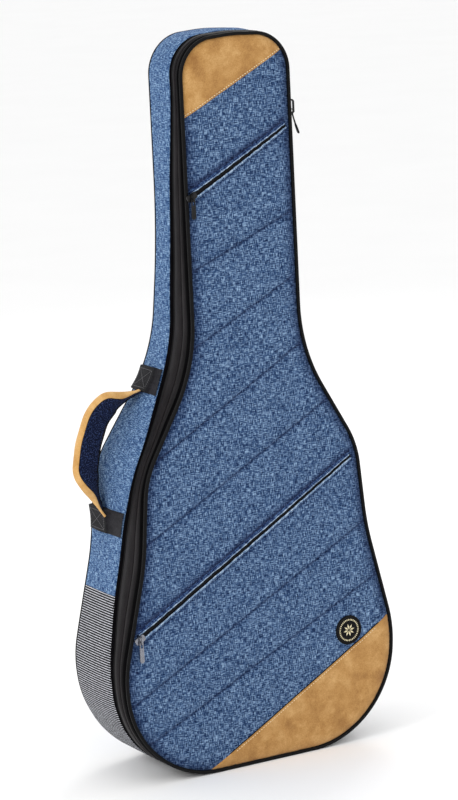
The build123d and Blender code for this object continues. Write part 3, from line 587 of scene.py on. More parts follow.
def panel_depth(x, z, plain_cloth=True):
    """How far the panel's surface stands behind the front plane (mm); less is prouder."""
    shape = np.shape(x)
    x, z = np.ravel(x).astype(float), np.ravel(z).astype(float)
    e = edge_distance(x, z)
    d = 4.4 * np.exp(-(e / 7.5)) - 1.5 * (1 - np.exp(-e / 45.0))
    covered = (side_of(head_cut, x, z) > 0) | (side_of(foot_cut, x, z) < 0)
    soft = (1 - np.exp(-e / 9.0))
    if plain_cloth:
        for s in seams:
            q = np.abs(side_of(s, x, z))
            groove = 1.7 * np.exp(-(q / 2.0) ** 2) + 1.3 * np.exp(-q / 10.0)
            d = d + np.where(covered, 0.0, groove * soft)
    for k, ln in zips.items():
        q = side_of(ln, x, z)
        t = along(ln, x, z)
        L = np.linalg.norm(ln[1] - ln[0])
        inside = sstep(t, -6, 4) * (1 - sstep(t, L - 4, L + 6))
        w = 10.4 - 3.6 * np.clip(t / L, 0, 1)
        d = d + inside * (2.6 * np.exp(-(q / w) ** 6) + 1.0 * np.exp(-np.abs(q) / 16))
    d = d - 0.55 * fbm(x, z, 130, 0.31) * soft - 0.22 * fbm(x, z, 38, 0.57) * soft
    return d.reshape(shape)


def panel_painted_shade(x, z):
    """Painted shade amount, 0..1: darker in the edge roll, along the seams and above and below the pocket welts, where
    shadow falls.
    """
    shape = np.shape(x)
    x, z = np.ravel(x).astype(float), np.ravel(z).astype(float)
    e = edge_distance(x, z)
    painted_shade_amount = 0.66 * np.exp(-(e / 12.0) ** 2)
    for s in seams:
        q = side_of(s, x, z)
        painted_shade_amount = painted_shade_amount + 0.7 * np.exp(-(q / 1.6) ** 2) + 0.12 * np.exp(-np.abs(q) / 9.0)
    for ln in zips.values():
        q, t, L = side_of(ln, x, z), along(ln, x, z), np.linalg.norm(ln[1] - ln[0])
        w = 11.0 - 3.4 * np.clip(t / L, 0, 1)
        ins = sstep(t, -4, 2) * (1 - sstep(t, L - 2, L + 4))
        painted_shade_amount = painted_shade_amount + ins * (1.0 * np.exp(-((q - w - 0.8) / 3.0) ** 2) + 0.3 * np.exp(-((q - w - 4) / 5.0) ** 2) + 0.6 * np.exp(-((q + w - 1.5) / 1.3) ** 2) + 0.25 * np.exp(-np.abs(q) / 16))
    return np.clip(painted_shade_amount, 0, 1).reshape(shape)


def half_rows(off, n):
    """Right half of the outline at an offset, from the flat bottom up to the top centre."""
    q = loop
    t = np.roll(q[:-1], -1, 0) - np.roll(q[:-1], 1, 0)
    line, _, _ = resample(loop, 4000)
    tt = np.roll(line, -1, 0) - np.roll(line, 1, 0)
    tt /= np.linalg.norm(tt, axis=1)[:, None]
    nn = np.c_[tt[:, 1], -tt[:, 0]]
    pts = line + nn * off
    half = pts[(line[:, 0] >= 0)]
    half = half[:int(len(half))]
    # keep from the end of the flat bottom to the top centre
    k = [i for i in range(len(line)) if line[i, 0] >= 81.0 or (line[i, 0] >= 0 and line[i, 1] > 500)]
    h = pts[k]
    h, _, _ = resample(h, n, closed=False)
    h[-1, 0] = max(h[-1, 0], 0.4)
    h[:, 0] = np.maximum(h[:, 0], 0.4)
    return h


def sheet_grid(name, off, rows, cols, depth_fn, mats, flip=False, painted_shade=None):
    h = half_rows(off, rows)
    u = np.linspace(-1, 1, cols)
    # denser near the edges so that the roll into the piping is smooth
    u = np.sign(u) * (1 - (1 - np.abs(u)) ** 1.15)
    X = h[:, 0, None] * u[None]
    Z = np.broadcast_to(h[:, 1, None], X.shape)
    Y = -82 + depth_fn(X, Z)
    verts = np.stack([X, Y, Z], -1).reshape(-1, 3) * MM
    faces = grid_faces(rows, cols, flip=flip)
    cl = np.stack([X, Z, np.zeros_like(X)], -1).reshape(-1, 3) * MM
    at = {"cl": cl}
    if painted_shade is not None:
        # painted shade amount per vertex, read by the cloth material to darken its colour
        at["painted_shade_amount"] = np.repeat(painted_shade(X, Z).reshape(-1, 1), 3, 1)
    return new_mesh(name, verts, faces, None, mats, attrs=at)


def clip_patch(name, cut, side, off, rows, cols, lift, mats):
    """Patch between a cut line and the outline; rows run along the cut."""
    a, b = cut
    d = (b - a) / np.linalg.norm(b - a)
    n = np.array([-d[1], d[0]]) * side
    line, _, _ = resample(loop, 4000)
    tt = np.roll(line, -1, 0) - np.roll(line, 1, 0)
    tt /= np.linalg.norm(tt, axis=1)[:, None]
    pts = line + np.c_[tt[:, 1], -tt[:, 0]] * off
    uu = (pts - a) @ d
    vv = (pts - a) @ n
    vmax = vv.max()
    vs = vmax * (1 - (1 - np.linspace(0, 1, rows)) ** 1.7)
    vs[-1] = vmax * 0.9995
    X, Z, Vd = [], [], []
    for v in vs:
        s = np.sign(vv - v)
        k = np.where(s != np.roll(s, -1))[0]
        us = []
        for i in k:
            j = (i + 1) % len(vv)
            w = (v - vv[i]) / (vv[j] - vv[i] + 1e-12)
            us.append(uu[i] + (uu[j] - uu[i]) * w)
        u0, u1 = min(us), max(us)
        u = u0 + (u1 - u0) * (0.5 - 0.5 * np.cos(np.linspace(0, math.pi, cols))) * 1.0
        q = a + np.outer(u, d) + n * v
        X.append(q[:, 0])
        Z.append(q[:, 1])
        Vd.append(np.full(cols, v))
    X, Z, Vd = np.array(X), np.array(Z), np.array(Vd)
    e = np.minimum(edge_distance(X, Z, pts).reshape(X.shape), Vd)
    D = panel_depth(X, Z, plain_cloth=False) - lift * (1 - np.exp(-(e + 0.05) / 0.9)) + 0.15
    verts = np.stack([X, -82 + D, Z], -1).reshape(-1, 3) * MM
    cl = np.stack([X, Z, np.zeros_like(X)], -1).reshape(-1, 3) * MM
    return new_mesh(name, verts, grid_faces(rows, cols, flip=(side < 0)), None, mats, attrs={"cl": cl})


def done(o, body, slot, *nodes, pad=None):
    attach(o, body)
    if nodes:
        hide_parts(*nodes)
    return o


# ---------------------------------------------------------------- lid
# front panel cloth, with painted shade in its edge roll, seams and beside the pocket zips
lid_panel = sheet_grid("lid_panel_cloth", -4.0, 460, 200, panel_depth, [M_FRONT], painted_shade=panel_painted_shade)
done(lid_panel, "lid", "denim_front", "lid_cover_fabric", "lid_foam", pad=0.9)

# the lid's rim: tape, smooth zip half, parting edge, then the lining inside
W0 = 0.35 * (1 - sstep(down, 0.3, 0.9))
rim_rows = [(-5.5, 3.0), (-2.0, 4.4), (-0.4, 5.2), (0.2 * W0, 6.4), (0.25 * W0, 0.6 * AD + 2), (0.1 * W0, AD - 1.0), (-0.9, AD - 0.3),
            (-1.5, AD + 0.5), (-0.9, AD + 1.3), (0.5 * W0, AD + 2.4), (W0, 0.5 * (AD + SD) + 1), (0.6 * W0, SD - 1.4), (-0.3, SD - 0.75),
            (-1.4, SD - 0.7), (-2.6, SD - 1.3), (-3.2, SD - 2.4), (-6, SD - 2.6), (-14, SD - 2.2), (-17, SD - 3.4), (-18, SD - 6), (-18.4, 20.5 - 0 * SD),
            (-20, 19.0), (-24, 18.4)]
rim_mat = [1, 1, 0, 0, 0, 0, 1, 1, 1, 2, 2, 2, 2, 3, 3, 4, 4, 4, 4, 4, 4, 4]
for i, r in enumerate(rim_rows[18:21]):
    pass
lid_rim = ring_loft("lid_rim", rim_rows[:17] + [(-14, SD - 2.2), (-17, SD - 3.0), (-18.2, np.minimum(SD - 4.0, 20.0)), (-19, np.minimum(SD - 5, 18.6)),
                                                (-24, np.minimum(SD - 5, 18.0) + 0.0)],
                    [M_TAPE, M_PIPE, M_ZIP, M_COIL, M_LINING], rim_mat[:21])
done(lid_rim, "lid", "black_binding", "lid_zip_tape", "lid_zip_coil")

IN_SD = np.minimum(SD - 5, 18.0)


def lid_inside(X, Z):
    e = edge_distance(X, Z, P + NRM * -23.5)
    base = np.interp(np.ravel(Z), np.sort(P[:NP // 2, 1]), IN_SD[:NP // 2][np.argsort(P[:NP // 2, 1])])
    base = np.minimum(base, 18.0)
    q = 1.6 * (1 - np.exp(-e / 14.0))
    for s in seams:
        q = q - 0.7 * np.exp(-(np.abs(side_of(s, np.ravel(X), np.ravel(Z))) / 3.0) ** 2)
    return (base + q).reshape(X.shape)


lid_in = sheet_grid("lid_lining_cloth", -23.5, 200, 60, lid_inside, [M_LINING], flip=True)
done(lid_in, "lid", "lining_plush", "lid_lining", pad=0.7)


def bead(name, off, dep, r, mat, sides=10, squash=1.0):
    off = np.broadcast_to(np.asarray(off, float), (NP,))
    dep = np.broadcast_to(np.asarray(dep, float), (NP,))
    q = P + NRM * off[:, None]
    pts = np.c_[q[:, 0], -82 + dep, q[:, 1]] * MM
    return tube(name, pts, np.asarray(r) * MM, mat, closed=True, sides=sides, squash=squash)


panel_piping = bead("panel_piping", -2.7, 2.3, 2.65, M_PIPE, 12)
done(panel_piping, "lid", "piping_black", "lid_piping")
second_piping = bead("rim_cord", -0.9, AD - 0.2, 0.9, M_TAPE, 8)
done(second_piping, "lid", "black_binding")

# ---------------------------------------------------------------- base shell
YBd = YB + 82.0          # depth of the back face
wall = []
dark_groove = [(-18.4, SD + 8), (-18.2, SD + 3.6), (-17, SD + 2.6), (-14, SD + 2.2), (-6, SD + 2.6), (-3.2, SD + 2.4), (-2.6, SD + 1.3),
               (-1.4, SD + 0.7), (-0.3, SD + 0.75), (0.6 * W0, SD + 1.4), (W0, 0.5 * (SD + CD)), (0.5 * W0, CD - 1.6), (-0.9, CD - 0.6),
               (-1.5, CD + 0.2), (-0.6, CD + 1.0), (0.25 * W0, CD + 2.2), (-0.25, CD + 0.33 * (BB - CD)), (0.2 * W0, CD + 0.42 * (BB - CD)),
               (-0.3, CD + 0.58 * (BB - CD)), (0.2 * W0, CD + 0.68 * (BB - CD)), (0.1 * W0, BB - 2.0), (-0.8, BB - 1.0), (-1.6, BB - 0.3),
               (-1.2, BB + 0.6), (-0.2, BB + 1.8)]
dg_mat = [4, 4, 4, 4, 4, 3, 3, 2, 2, 2, 2, 2, 1, 1, 1, 0, 0, 0, 0, 0, 0, 1, 1, 5]
K = 12
wall_rows, wall_mat = [], []
for k in range(1, K + 1):
    t = k / K
    bul = BULGE * np.sin(math.pi * min(t * 0.86, 1.0)) ** 0.8 * (0.9 if t > 0 else 0)
    dd = (BB + 1.8) + (YBd - RB - BB - 1.8) * t
    wall_rows.append((bul * (1 - 0.45 * t), dd))
    wall_mat.append(5)
last = BULGE * np.sin(math.pi * 0.86) ** 0.8 * 0.9 * 0.55
for k in range(1, 9):
    a = math.pi / 2 * k / 8
    wall_rows.append((last * math.cos(a) - RB * (1 - math.cos(a)), YBd - RB * (1 - math.sin(a))))
    wall_mat.append(5)
base_rim = ring_loft("base_wall", dark_groove + wall_rows, [M_BIND, M_PIPE, M_ZIP, M_COIL, M_LINING, M_SIDE, M_GUARD],
                     dg_mat + wall_mat, z_mat=(5, 281, 6))
done(base_rim, "base", "denim_side", "side_cover_fabric", "bottom_guard_fabric", "side_foam", "base_binding", "base_zip_tape",
     "base_zip_coil", pad=0.9)

# rounded corner cord along the back edge
aa = math.radians(42)
back_cord = bead("back_edge_piping", last * math.cos(aa) - RB * (1 - math.cos(aa)) + 0.2, YBd - RB * (1 - math.sin(aa)) + 0.2, 1.7, M_PIPE, 10)
done(back_cord, "base", "piping_black", "back_piping")


def back_depth(X, Z):
    e = edge_distance(X, Z, P + NRM * -(RB[:, None]))
    d = back_y(np.ravel(Z)) + 82 - 0.9 + 0.5 * (1 - np.exp(-e / 22.0))
    d = d + 0.35 * fbm(np.ravel(X), np.ravel(Z), 150, 0.77) * (1 - np.exp(-e / 12.0))
    return d.reshape(X.shape)


def sheet_grid_var(name, offs, rows, cols, depth_fn, mats, flip=False):
    """Like sheet_grid, with an offset that changes along the outline."""
    q = P + NRM * np.asarray(offs)[:, None]
    k = [i for i in range(NP // 2 + 1) if P[i, 0] >= 78.0 or (P[i, 0] >= -0.5 and P[i, 1] > 500)]
    h, _, _ = resample(q[k], rows, closed=False)
    h[:, 0] = np.maximum(h[:, 0], 0.4)
    u = np.linspace(-1, 1, cols)
    X = h[:, 0, None] * u[None]
    Z = np.broadcast_to(h[:, 1, None], X.shape)
    Y = -82 + depth_fn(X, Z)
    verts = np.stack([X, Y, Z], -1).reshape(-1, 3) * MM
    cl = np.stack([X, Z, np.zeros_like(X)], -1).reshape(-1, 3) * MM
    return new_mesh(name, verts, grid_faces(rows, cols, flip=flip), None, mats, attrs={"cl": cl})


back_panel = sheet_grid_var("back_panel_cloth", -RB + 0.6, 260, 90, back_depth, [M_BACKC], flip=True)
done(back_panel, "base", "denim_side", "back_cover_fabric", "back_foam", pad=0.9)

# lining of the base
YI = YBd - 18
in_rows = [(-18.4, SD + 8), (-18.6, SD + 14), (-18.6, 0.5 * (SD + YI)), (-18.4, YI - 9), (-20.5, YI - 3.5), (-27, YI - 0.6)]
base_in_wall = ring_loft("base_lining_wall", in_rows, [M_LINING], [0] * 5, flip=True)
done(base_in_wall, "base", "lining_plush", "base_lining", pad=0.7)


def base_inside(X, Z):
    e = edge_distance(X, Z, P + NRM * -26.5)
    d = back_y(np.ravel(Z)) + 82 - 18 - 0.6 - 1.5 * (1 - np.exp(-e / 18.0))
    for c in range(-4, 14):
        d = d + 0.6 * np.exp(-((np.ravel(Z) - 90 * c - 45) / 3.0) ** 2)
    return d.reshape(X.shape)


base_in_back = sheet_grid("base_lining_back", -26.5, 220, 60, base_inside, [M_LINING])
done(base_in_back, "base", "lining_plush")

# =====================================================================================
# front details
# =====================================================================================
head_patch = clip_patch("head_suede", head_cut, 1, -5.0, 60, 90, 1.0, [M_SUEDE])
done(head_patch, "lid", "suede_tan", "suede_head_patch")
foot_patch = clip_patch("foot_suede", foot_cut, -1, -5.0, 80, 120, 1.0, [M_SUEDE])
done(foot_patch, "lid", "suede_tan", "suede_bottom_patch")


def on_panel(line_pts, lift=0.0, plain_cloth=False):
    q = np.asarray(line_pts, float)
    d = panel_depth(q[:, 0], q[:, 1], plain_cloth=plain_cloth)
    return np.c_[q[:, 0], -82 + d - lift, q[:, 1]] * MM


def line_points(line, off, t0=0.0, t1=1.0, n=80):
    a, b = np.asarray(line[0], float), np.asarray(line[1], float)
    d = (b - a) / np.linalg.norm(b - a)
    nn = np.array([-d[1], d[0]])
    t = np.linspace(t0, t1, n)[:, None]
    return a + (b - a) * t + nn * off


NF = np.array([0, -1.0, 0])
st = stitches("head_patch_stitches", on_panel(line_points(head_cut, 3.2, 0.02, 0.99), 0.95), NF, M_THREAD, 2.6, 1.9, 0.62)
done(st, "lid", "suede_tan")
st = stitches("foot_patch_stitches", on_panel(line_points(foot_cut, -3.0, 0.03, 0.975), 0.95), NF, M_THREAD, 2.6, 1.9, 0.6)
done(st, "lid", "suede_tan")
edge_cord = tube("foot_patch_edge", on_panel(line_points(foot_cut, 0.6, 0.0, 1.0), 0.2), 0.75 * MM, M_PIPE, sides=8)
done(edge_cord, "lid", "piping_black")

# quilting thread down in the seams
for i, s in enumerate(seams):
    a, b = np.array(s[0], float), np.array(s[1], float)
    d = (b - a) / np.linalg.norm(b - a)
    ts = np.linspace(-420, 620, 1041)
    q = a + ts[:, None] * d
    inside = np.zeros(len(q), bool)
    # inside the panel and clear of the patches
    for j, p in enumerate(q):
        if 6 < p[1] < 1086:
            w = np.interp(p[1], P[:NP // 2, 1][np.argsort(P[:NP // 2, 1])], P[:NP // 2, 0][np.argsort(P[:NP // 2, 1])])
            inside[j] = abs(p[0]) < w - 9
    inside &= (side_of(head_cut, q[:, 0], q[:, 1]) < -2) & (side_of(foot_cut, q[:, 0], q[:, 1]) > 2)
    q = q[inside]
    if len(q) > 5:
        st = stitches("quilt_stitches_%d" % i, on_panel(q, 0.0, True), NF, M_THREADN, 3.0, 1.2, 0.4, 0.2)
        done(st, "lid", "denim_front")


def welt_strip(name, line, centre0, centre1, width0, width1, height, mat, body="lid"):
    """Rolled fold of cloth beside a pocket zip: half-round section that narrows along its length."""
    a, b = line
    L = np.linalg.norm(b - a)
    d = (b - a) / L
    nn = np.array([-d[1], d[0]])
    n, mrow = 150, 11
    t = np.linspace(0, 1, n)
    c = centre0 + (centre1 - centre0) * t
    w = width0 + (width1 - width0) * t
    w = w * np.clip(np.minimum(t, 1 - t) * 60 + 0.35, 0, 1)
    a_ = np.linspace(0, math.pi, mrow)
    pos = a + (b - a) * t[:, None] + nn * c[:, None]
    wob = 1 + 0.05 * np.sin(t * 37) + 0.04 * np.sin(t * 91 + 1)
    X = pos[:, 0, None] + nn[0] * (-np.cos(a_))[None] * (w / 2)[:, None]
    Z = pos[:, 1, None] + nn[1] * (-np.cos(a_))[None] * (w / 2)[:, None]
    base = panel_depth(pos[:, 0], pos[:, 1])[:, None]
    Y = -82 + base - height * (np.sin(a_) ** 0.7)[None] * wob[:, None] + 0.3
    verts = np.stack([X, Y, Z], -1).reshape(-1, 3) * MM
    cl = np.stack([np.broadcast_to((t * L)[:, None], X.shape), np.broadcast_to((a_ * 3)[None], X.shape), 0 * X], -1).reshape(-1, 3) * MM
    return new_mesh(name, verts, grid_faces(n, mrow), None, [mat], attrs={"cl": cl})


for k, (nm, line) in enumerate(zips.items()):
    if nm == "upper":
        cs = dict(lo=(-6.2, -4.4, 4.4, 3.2), hi=(7.2, 5.2, 6.0, 4.4))
    else:
        cs = dict(lo=(-6.4, -4.6, 4.6, 3.6), hi=(7.4, 5.6, 6.4, 5.0))
    o1 = welt_strip(nm + "_welt_low", line, cs["lo"][0], cs["lo"][1], cs["lo"][2], cs["lo"][3], 2.6, M_FRONT)
    # upper welt drawn in the darker denim copy, a painted shade
    o2 = welt_strip(nm + "_welt_high", line, cs["hi"][0], cs["hi"][1], cs["hi"][2], cs["hi"][3], 2.9, M_WELT_SHADED)
    done(o1, "lid", "denim_welt", nm + "_pocket_welts")
    done(o2, "lid", "denim_welt")
    # pale tubes along both edges of the pocket gap: painted highlight on the rolled folds
    for sgn, c0, c1 in ((1, 4.6, 3.2), (-1, -4.8, -3.1)):
        q = line_points(line, 0.0, 0.004, 0.996, 220)
        dd = (line[1] - line[0]) / np.linalg.norm(line[1] - line[0])
        nv = np.array([-dd[1], dd[0]])
        t = np.linspace(0, 1, 220)
        q = q + nv * (c0 + (c1 - c0) * t + 0.25 * np.sin(t * 61) + 0.2 * np.sin(t * 143 + 2))[:, None]
        pts = on_panel(q, 1.7)
        pts[:, 1] = np.convolve(np.r_[[pts[0, 1]] * 4, pts[:, 1], [pts[-1, 1]] * 4], np.ones(9) / 9, "valid")
        o = tube("%s_welt_fold_%s" % (nm, "high" if sgn > 0 else "low"), pts, 1.15 * MM, M_FOLD_HIGHLIGHT, sides=8)
        done(o, "lid", "denim_welt")
    # zip tape in the gap, with its coil
    a, b = line
    q = line_points(line, 0.2, 0.0, 1.0, 200)
    d = (b - a) / np.linalg.norm(b - a)
    nn = np.array([-d[1], d[0]])
    rows = np.array([-5.0, -1.5, 0, 1.5, 5.0])
    hh = np.array([0.0, -0.5, -0.9, -0.5, 0.0])
    X = q[:, 0, None] + nn[0] * rows[None]
    Z = q[:, 1, None] + nn[1] * rows[None]
    Y = -82 + panel_depth(q[:, 0], q[:, 1])[:, None] - 0.25 + hh[None]
    cl = np.stack([np.broadcast_to(np.linspace(0, 1, 200)[:, None] * np.linalg.norm(b - a), X.shape), np.broadcast_to(rows[None], X.shape), 0 * X], -1)
    o = new_mesh(nm + "_zip_tape", np.stack([X, Y, Z], -1).reshape(-1, 3) * MM, grid_faces(200, 5), None, [M_COIL], attrs={"cl": cl.reshape(-1, 3) * MM})
    done(o, "lid", "black_binding", nm + "_pocket_zip")
    # pocket pouch behind the panel is sealed in, so the panel stands for it
    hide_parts(nm + "_pocket_pouch")

# badge: moulded disc, raised ring and a plain star-like rosette
def disc(name, c, rings, mat):
    """Turned disc facing the front: rings of (radius, height above the panel)."""
    n = 64
    a = np.linspace(0, 2 * math.pi, n, endpoint=False)
    base = float(panel_depth(np.array([c[0]]), np.array([c[1]]))[0])
    verts, faces = [], []
    for r, h in rings:
        for t in a:
            verts.append((c[0] + r * math.cos(t), -82 + base - h, c[1] + r * math.sin(t)))
    for i in range(len(rings) - 1):
        for j in range(n):
            faces.append((i * n + j, (i + 1) * n + j, (i + 1) * n + (j + 1) % n, i * n + (j + 1) % n))
    verts.append((c[0], -82 + base - rings[-1][1], c[1]))
    k = len(verts) - 1
    for j in range(n):
        faces.append(((len(rings) - 1) * n + j, k, (len(rings) - 1) * n + (j + 1) % n))
    return new_mesh(name, np.array(verts) * MM, faces, None, [mat])


_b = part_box("badge")
BC = (500 * (_b[0][0] + _b[1][0]), 500 * (_b[0][2] + _b[1][2]))
o = disc("badge_disc", BC, [(22.6, -0.6), (22.5, 0.9), (21.6, 1.7), (20.6, 1.8), (20.2, 1.3), (10.5, 1.3), (10.2, 1.5), (9.8, 1.3)], M_BADGE)
done(o, "lid", "badge_black", "badge")
base_b = float(panel_depth(np.array([BC[0]]), np.array([BC[1]]))[0])
verts, faces = [], []


def flat_blade(r0, r1, a0, w, h):
    """Small raised lozenge pointing outwards on the badge."""
    ca, sa = math.cos(a0), math.sin(a0)
    pts = [(r0, 0), ((r0 + r1) / 2, w), (r1, 0), ((r0 + r1) / 2, -w)]
    b0 = len(verts)
    for hh in (1.2, h):
        for r, s in pts:
            verts.append((BC[0] + r * ca - s * sa, -82 + base_b - hh, BC[1] + r * sa + s * ca))
    faces.append((b0 + 4, b0 + 5, b0 + 6, b0 + 7))
    for i in range(4):
        faces.append((b0 + i, b0 + (i + 1) % 4, b0 + 4 + (i + 1) % 4, b0 + 4 + i))


for i in range(8):
    flat_blade(1.4, 9.6, i * math.pi / 4 + 0.2, 1.35, 1.75)
for i in range(36):
    flat_blade(14.4, 17.6, i * math.pi / 18, 0.95, 1.6)
o = new_mesh("badge_rosette", np.array(verts) * MM, faces, None, [M_GOLD], smooth=False)
done(o, "lid", "badge_black")

# =====================================================================================
# carry handle: padded band, suede outside and round both edges, dark cloth inside, twisted between its ends
# =====================================================================================
H_TOP = np.array([-132.0, 28.0, 569.0])
H_DIR = np.array([-0.362844, 0.0, -0.93185])
H_N = np.array([-0.93185, 0.0, 0.362844])
H_LEAN = math.radians(30)
H_BOW = H_N * math.cos(H_LEAN) + np.array([0, 1.0, 0]) * math.sin(H_LEAN)
H_W0 = np.array([0, 1.0, 0]) * math.cos(H_LEAN) - H_N * math.sin(H_LEAN)
arch = rounded([(-6, -10), (0, -3), (9, 11), (25, 34), (50, 46.5), (96, 47), (132, 41), (154, 25), (171, 9), (182, -3), (188, -11)],
               [0, 14, 40, 26, 60, 90, 26, 40, 40, 14, 0], closed=False, step=0.4)
arch, _, _ = resample(arch, 130, closed=False)
for _ in range(4):
    arch[1:-1] = 0.25 * arch[:-2] + 0.5 * arch[1:-1] + 0.25 * arch[2:]
g = np.gradient(arch, axis=0)
g /= np.linalg.norm(g, axis=1)[:, None]
rise = sstep(arch[:, 1], 8, 44)
twist = np.radians(8 + (38 - 8) * rise)
half_w = 12 + 11.2 * sstep(arch[:, 1], 8, 36)
half_t = 1.8 + 4.2 * sstep(arch[:, 1], -4, 22)
HC = H_TOP + arch[:, 0, None] * H_DIR + arch[:, 1, None] * H_BOW + (7.0 * sstep(arch[:, 0], 120, 180))[:, None] * np.array([0, 1.0, 0])
HN0 = -g[:, 1, None] * H_DIR + g[:, 0, None] * H_BOW
HW = H_W0 * np.cos(twist)[:, None] - HN0 * np.sin(twist)[:, None]
HN = HN0 * np.cos(twist)[:, None] + H_W0 * np.sin(twist)[:, None]


def handle_strip(name, section, mat, extra=None):
    """Loft of (across, through) section points in half widths and half thicknesses."""
    sec = np.asarray(section, float)
    X = HC[:, None] + HW[:, None] * (half_w[:, None] * sec[None, :, 0] + sec[None, :, 2])[..., None] \
        + HN[:, None] * (half_t[:, None] * sec[None, :, 1] + sec[None, :, 3])[..., None]
    n, k = X.shape[:2]
    L = np.r_[0, np.cumsum(np.linalg.norm(np.diff(HC, axis=0), axis=1))]
    acc = np.r_[0, np.cumsum(np.hypot(np.diff(sec[:, 0]) * 24, np.diff(sec[:, 1]) * 6))]
    cl = np.stack([np.broadcast_to(acc[None], (n, k)), np.broadcast_to(L[:, None], (n, k)), np.zeros((n, k))], -1).reshape(-1, 3) * MM
    return new_mesh(name, X.reshape(-1, 3) * MM, grid_faces(n, k), None, [mat], attrs={"cl": cl})


sec = [(-0.93, -1, 0, 0.0), (-0.96, -1, 0, 0.1)]
for a_ in np.linspace(-math.pi / 2, math.pi / 2, 9):
    sec.append((-1, math.sin(a_), 1.6 - 2.6 * math.cos(a_), 0))
for u_ in np.linspace(-0.9, 0.9, 13):
    sec.append((u_, 1, 0, 1.1 * (1 - u_ ** 2)))
for a_ in np.linspace(math.pi / 2, -math.pi / 2, 9):
    sec.append((1, math.sin(a_), -1.6 + 2.6 * math.cos(a_), 0))
sec += [(0.96, -1, 0, 0.1), (0.93, -1, 0, 0.0)]
handle_shell = handle_strip("handle_suede_cover", sec, M_SUEDEH)
done(handle_shell, "carry_handle", "suede_tan", "handle_suede", "handle_foam", "handle_end_webbing", pad=0.9)
sec = [(u_, -1, 0, -0.9 * (1 - (abs(u_) / 0.95) ** 3) + 0.15) for u_ in np.linspace(-0.95, 0.95, 17)]
handle_in = handle_strip("handle_inner_cloth", sec[::-1], M_NAVY)
done(handle_in, "carry_handle", "denim_navy", "handle_lining", pad=0.9)
for sgn, rr, nm in ((1, 1.5, "back"), (-1, 0.45, "front")):
    pts = (HC + HW * (sgn * (half_w - (0.2 if sgn > 0 else 1.4)))[:, None] - HN * (half_t + (-0.4 if sgn > 0 else 0.0))[:, None]) * MM
    o = tube("handle_piping_" + nm, pts, rr * MM, M_PIPE, sides=8)
    done(o, "carry_handle", "piping_black")
for sgn in (-1, 1):
    pts = (HC + HW * (sgn * (half_w - 4.5))[:, None] + HN * (half_t + 1.1 * (1 - 0.82 ** 2) - 0.05)[:, None])[8:-8] * MM
    st = stitches("handle_stitches_%s" % ("back" if sgn > 0 else "front"), pts, HN[8:-8], M_THREAD, 2.6, 1.6, 0.38, 0.25)
    done(st, "carry_handle", "suede_tan")


# webbing tabs sewn to the side, doubled and box-stitched where the handle goes in
def wall_point(ip, d, lift):
    """Point of the left wall at a (fractional) perimeter index and depth, raised by lift."""
    ip, d, lift = np.broadcast_arrays(np.asarray(ip, float), np.asarray(d, float), np.asarray(lift, float))
    i = np.floor(ip).astype(int) % NP
    j = (i + 1) % NP
    w = (ip - np.floor(ip))[..., None]
    off = (wall_off(i, d) * (1 - w[..., 0]) + wall_off(j, d) * w[..., 0]) + lift
    p = P[i] * (1 - w) + P[j] * w
    n = NRM[i] * (1 - w) + NRM[j] * w
    q = p + n * off[..., None]
    nv = np.stack([n[..., 0], np.zeros_like(off), n[..., 1]], -1)
    return np.stack([q[..., 0], -82 + d, q[..., 1]], -1), nv / np.linalg.norm(nv, axis=-1)[..., None]


left = np.arange(NP // 2, NP)


def left_index(z):
    k = left[P[left, 0] < -60]
    return float(np.interp(-z, -P[k, 1], k))


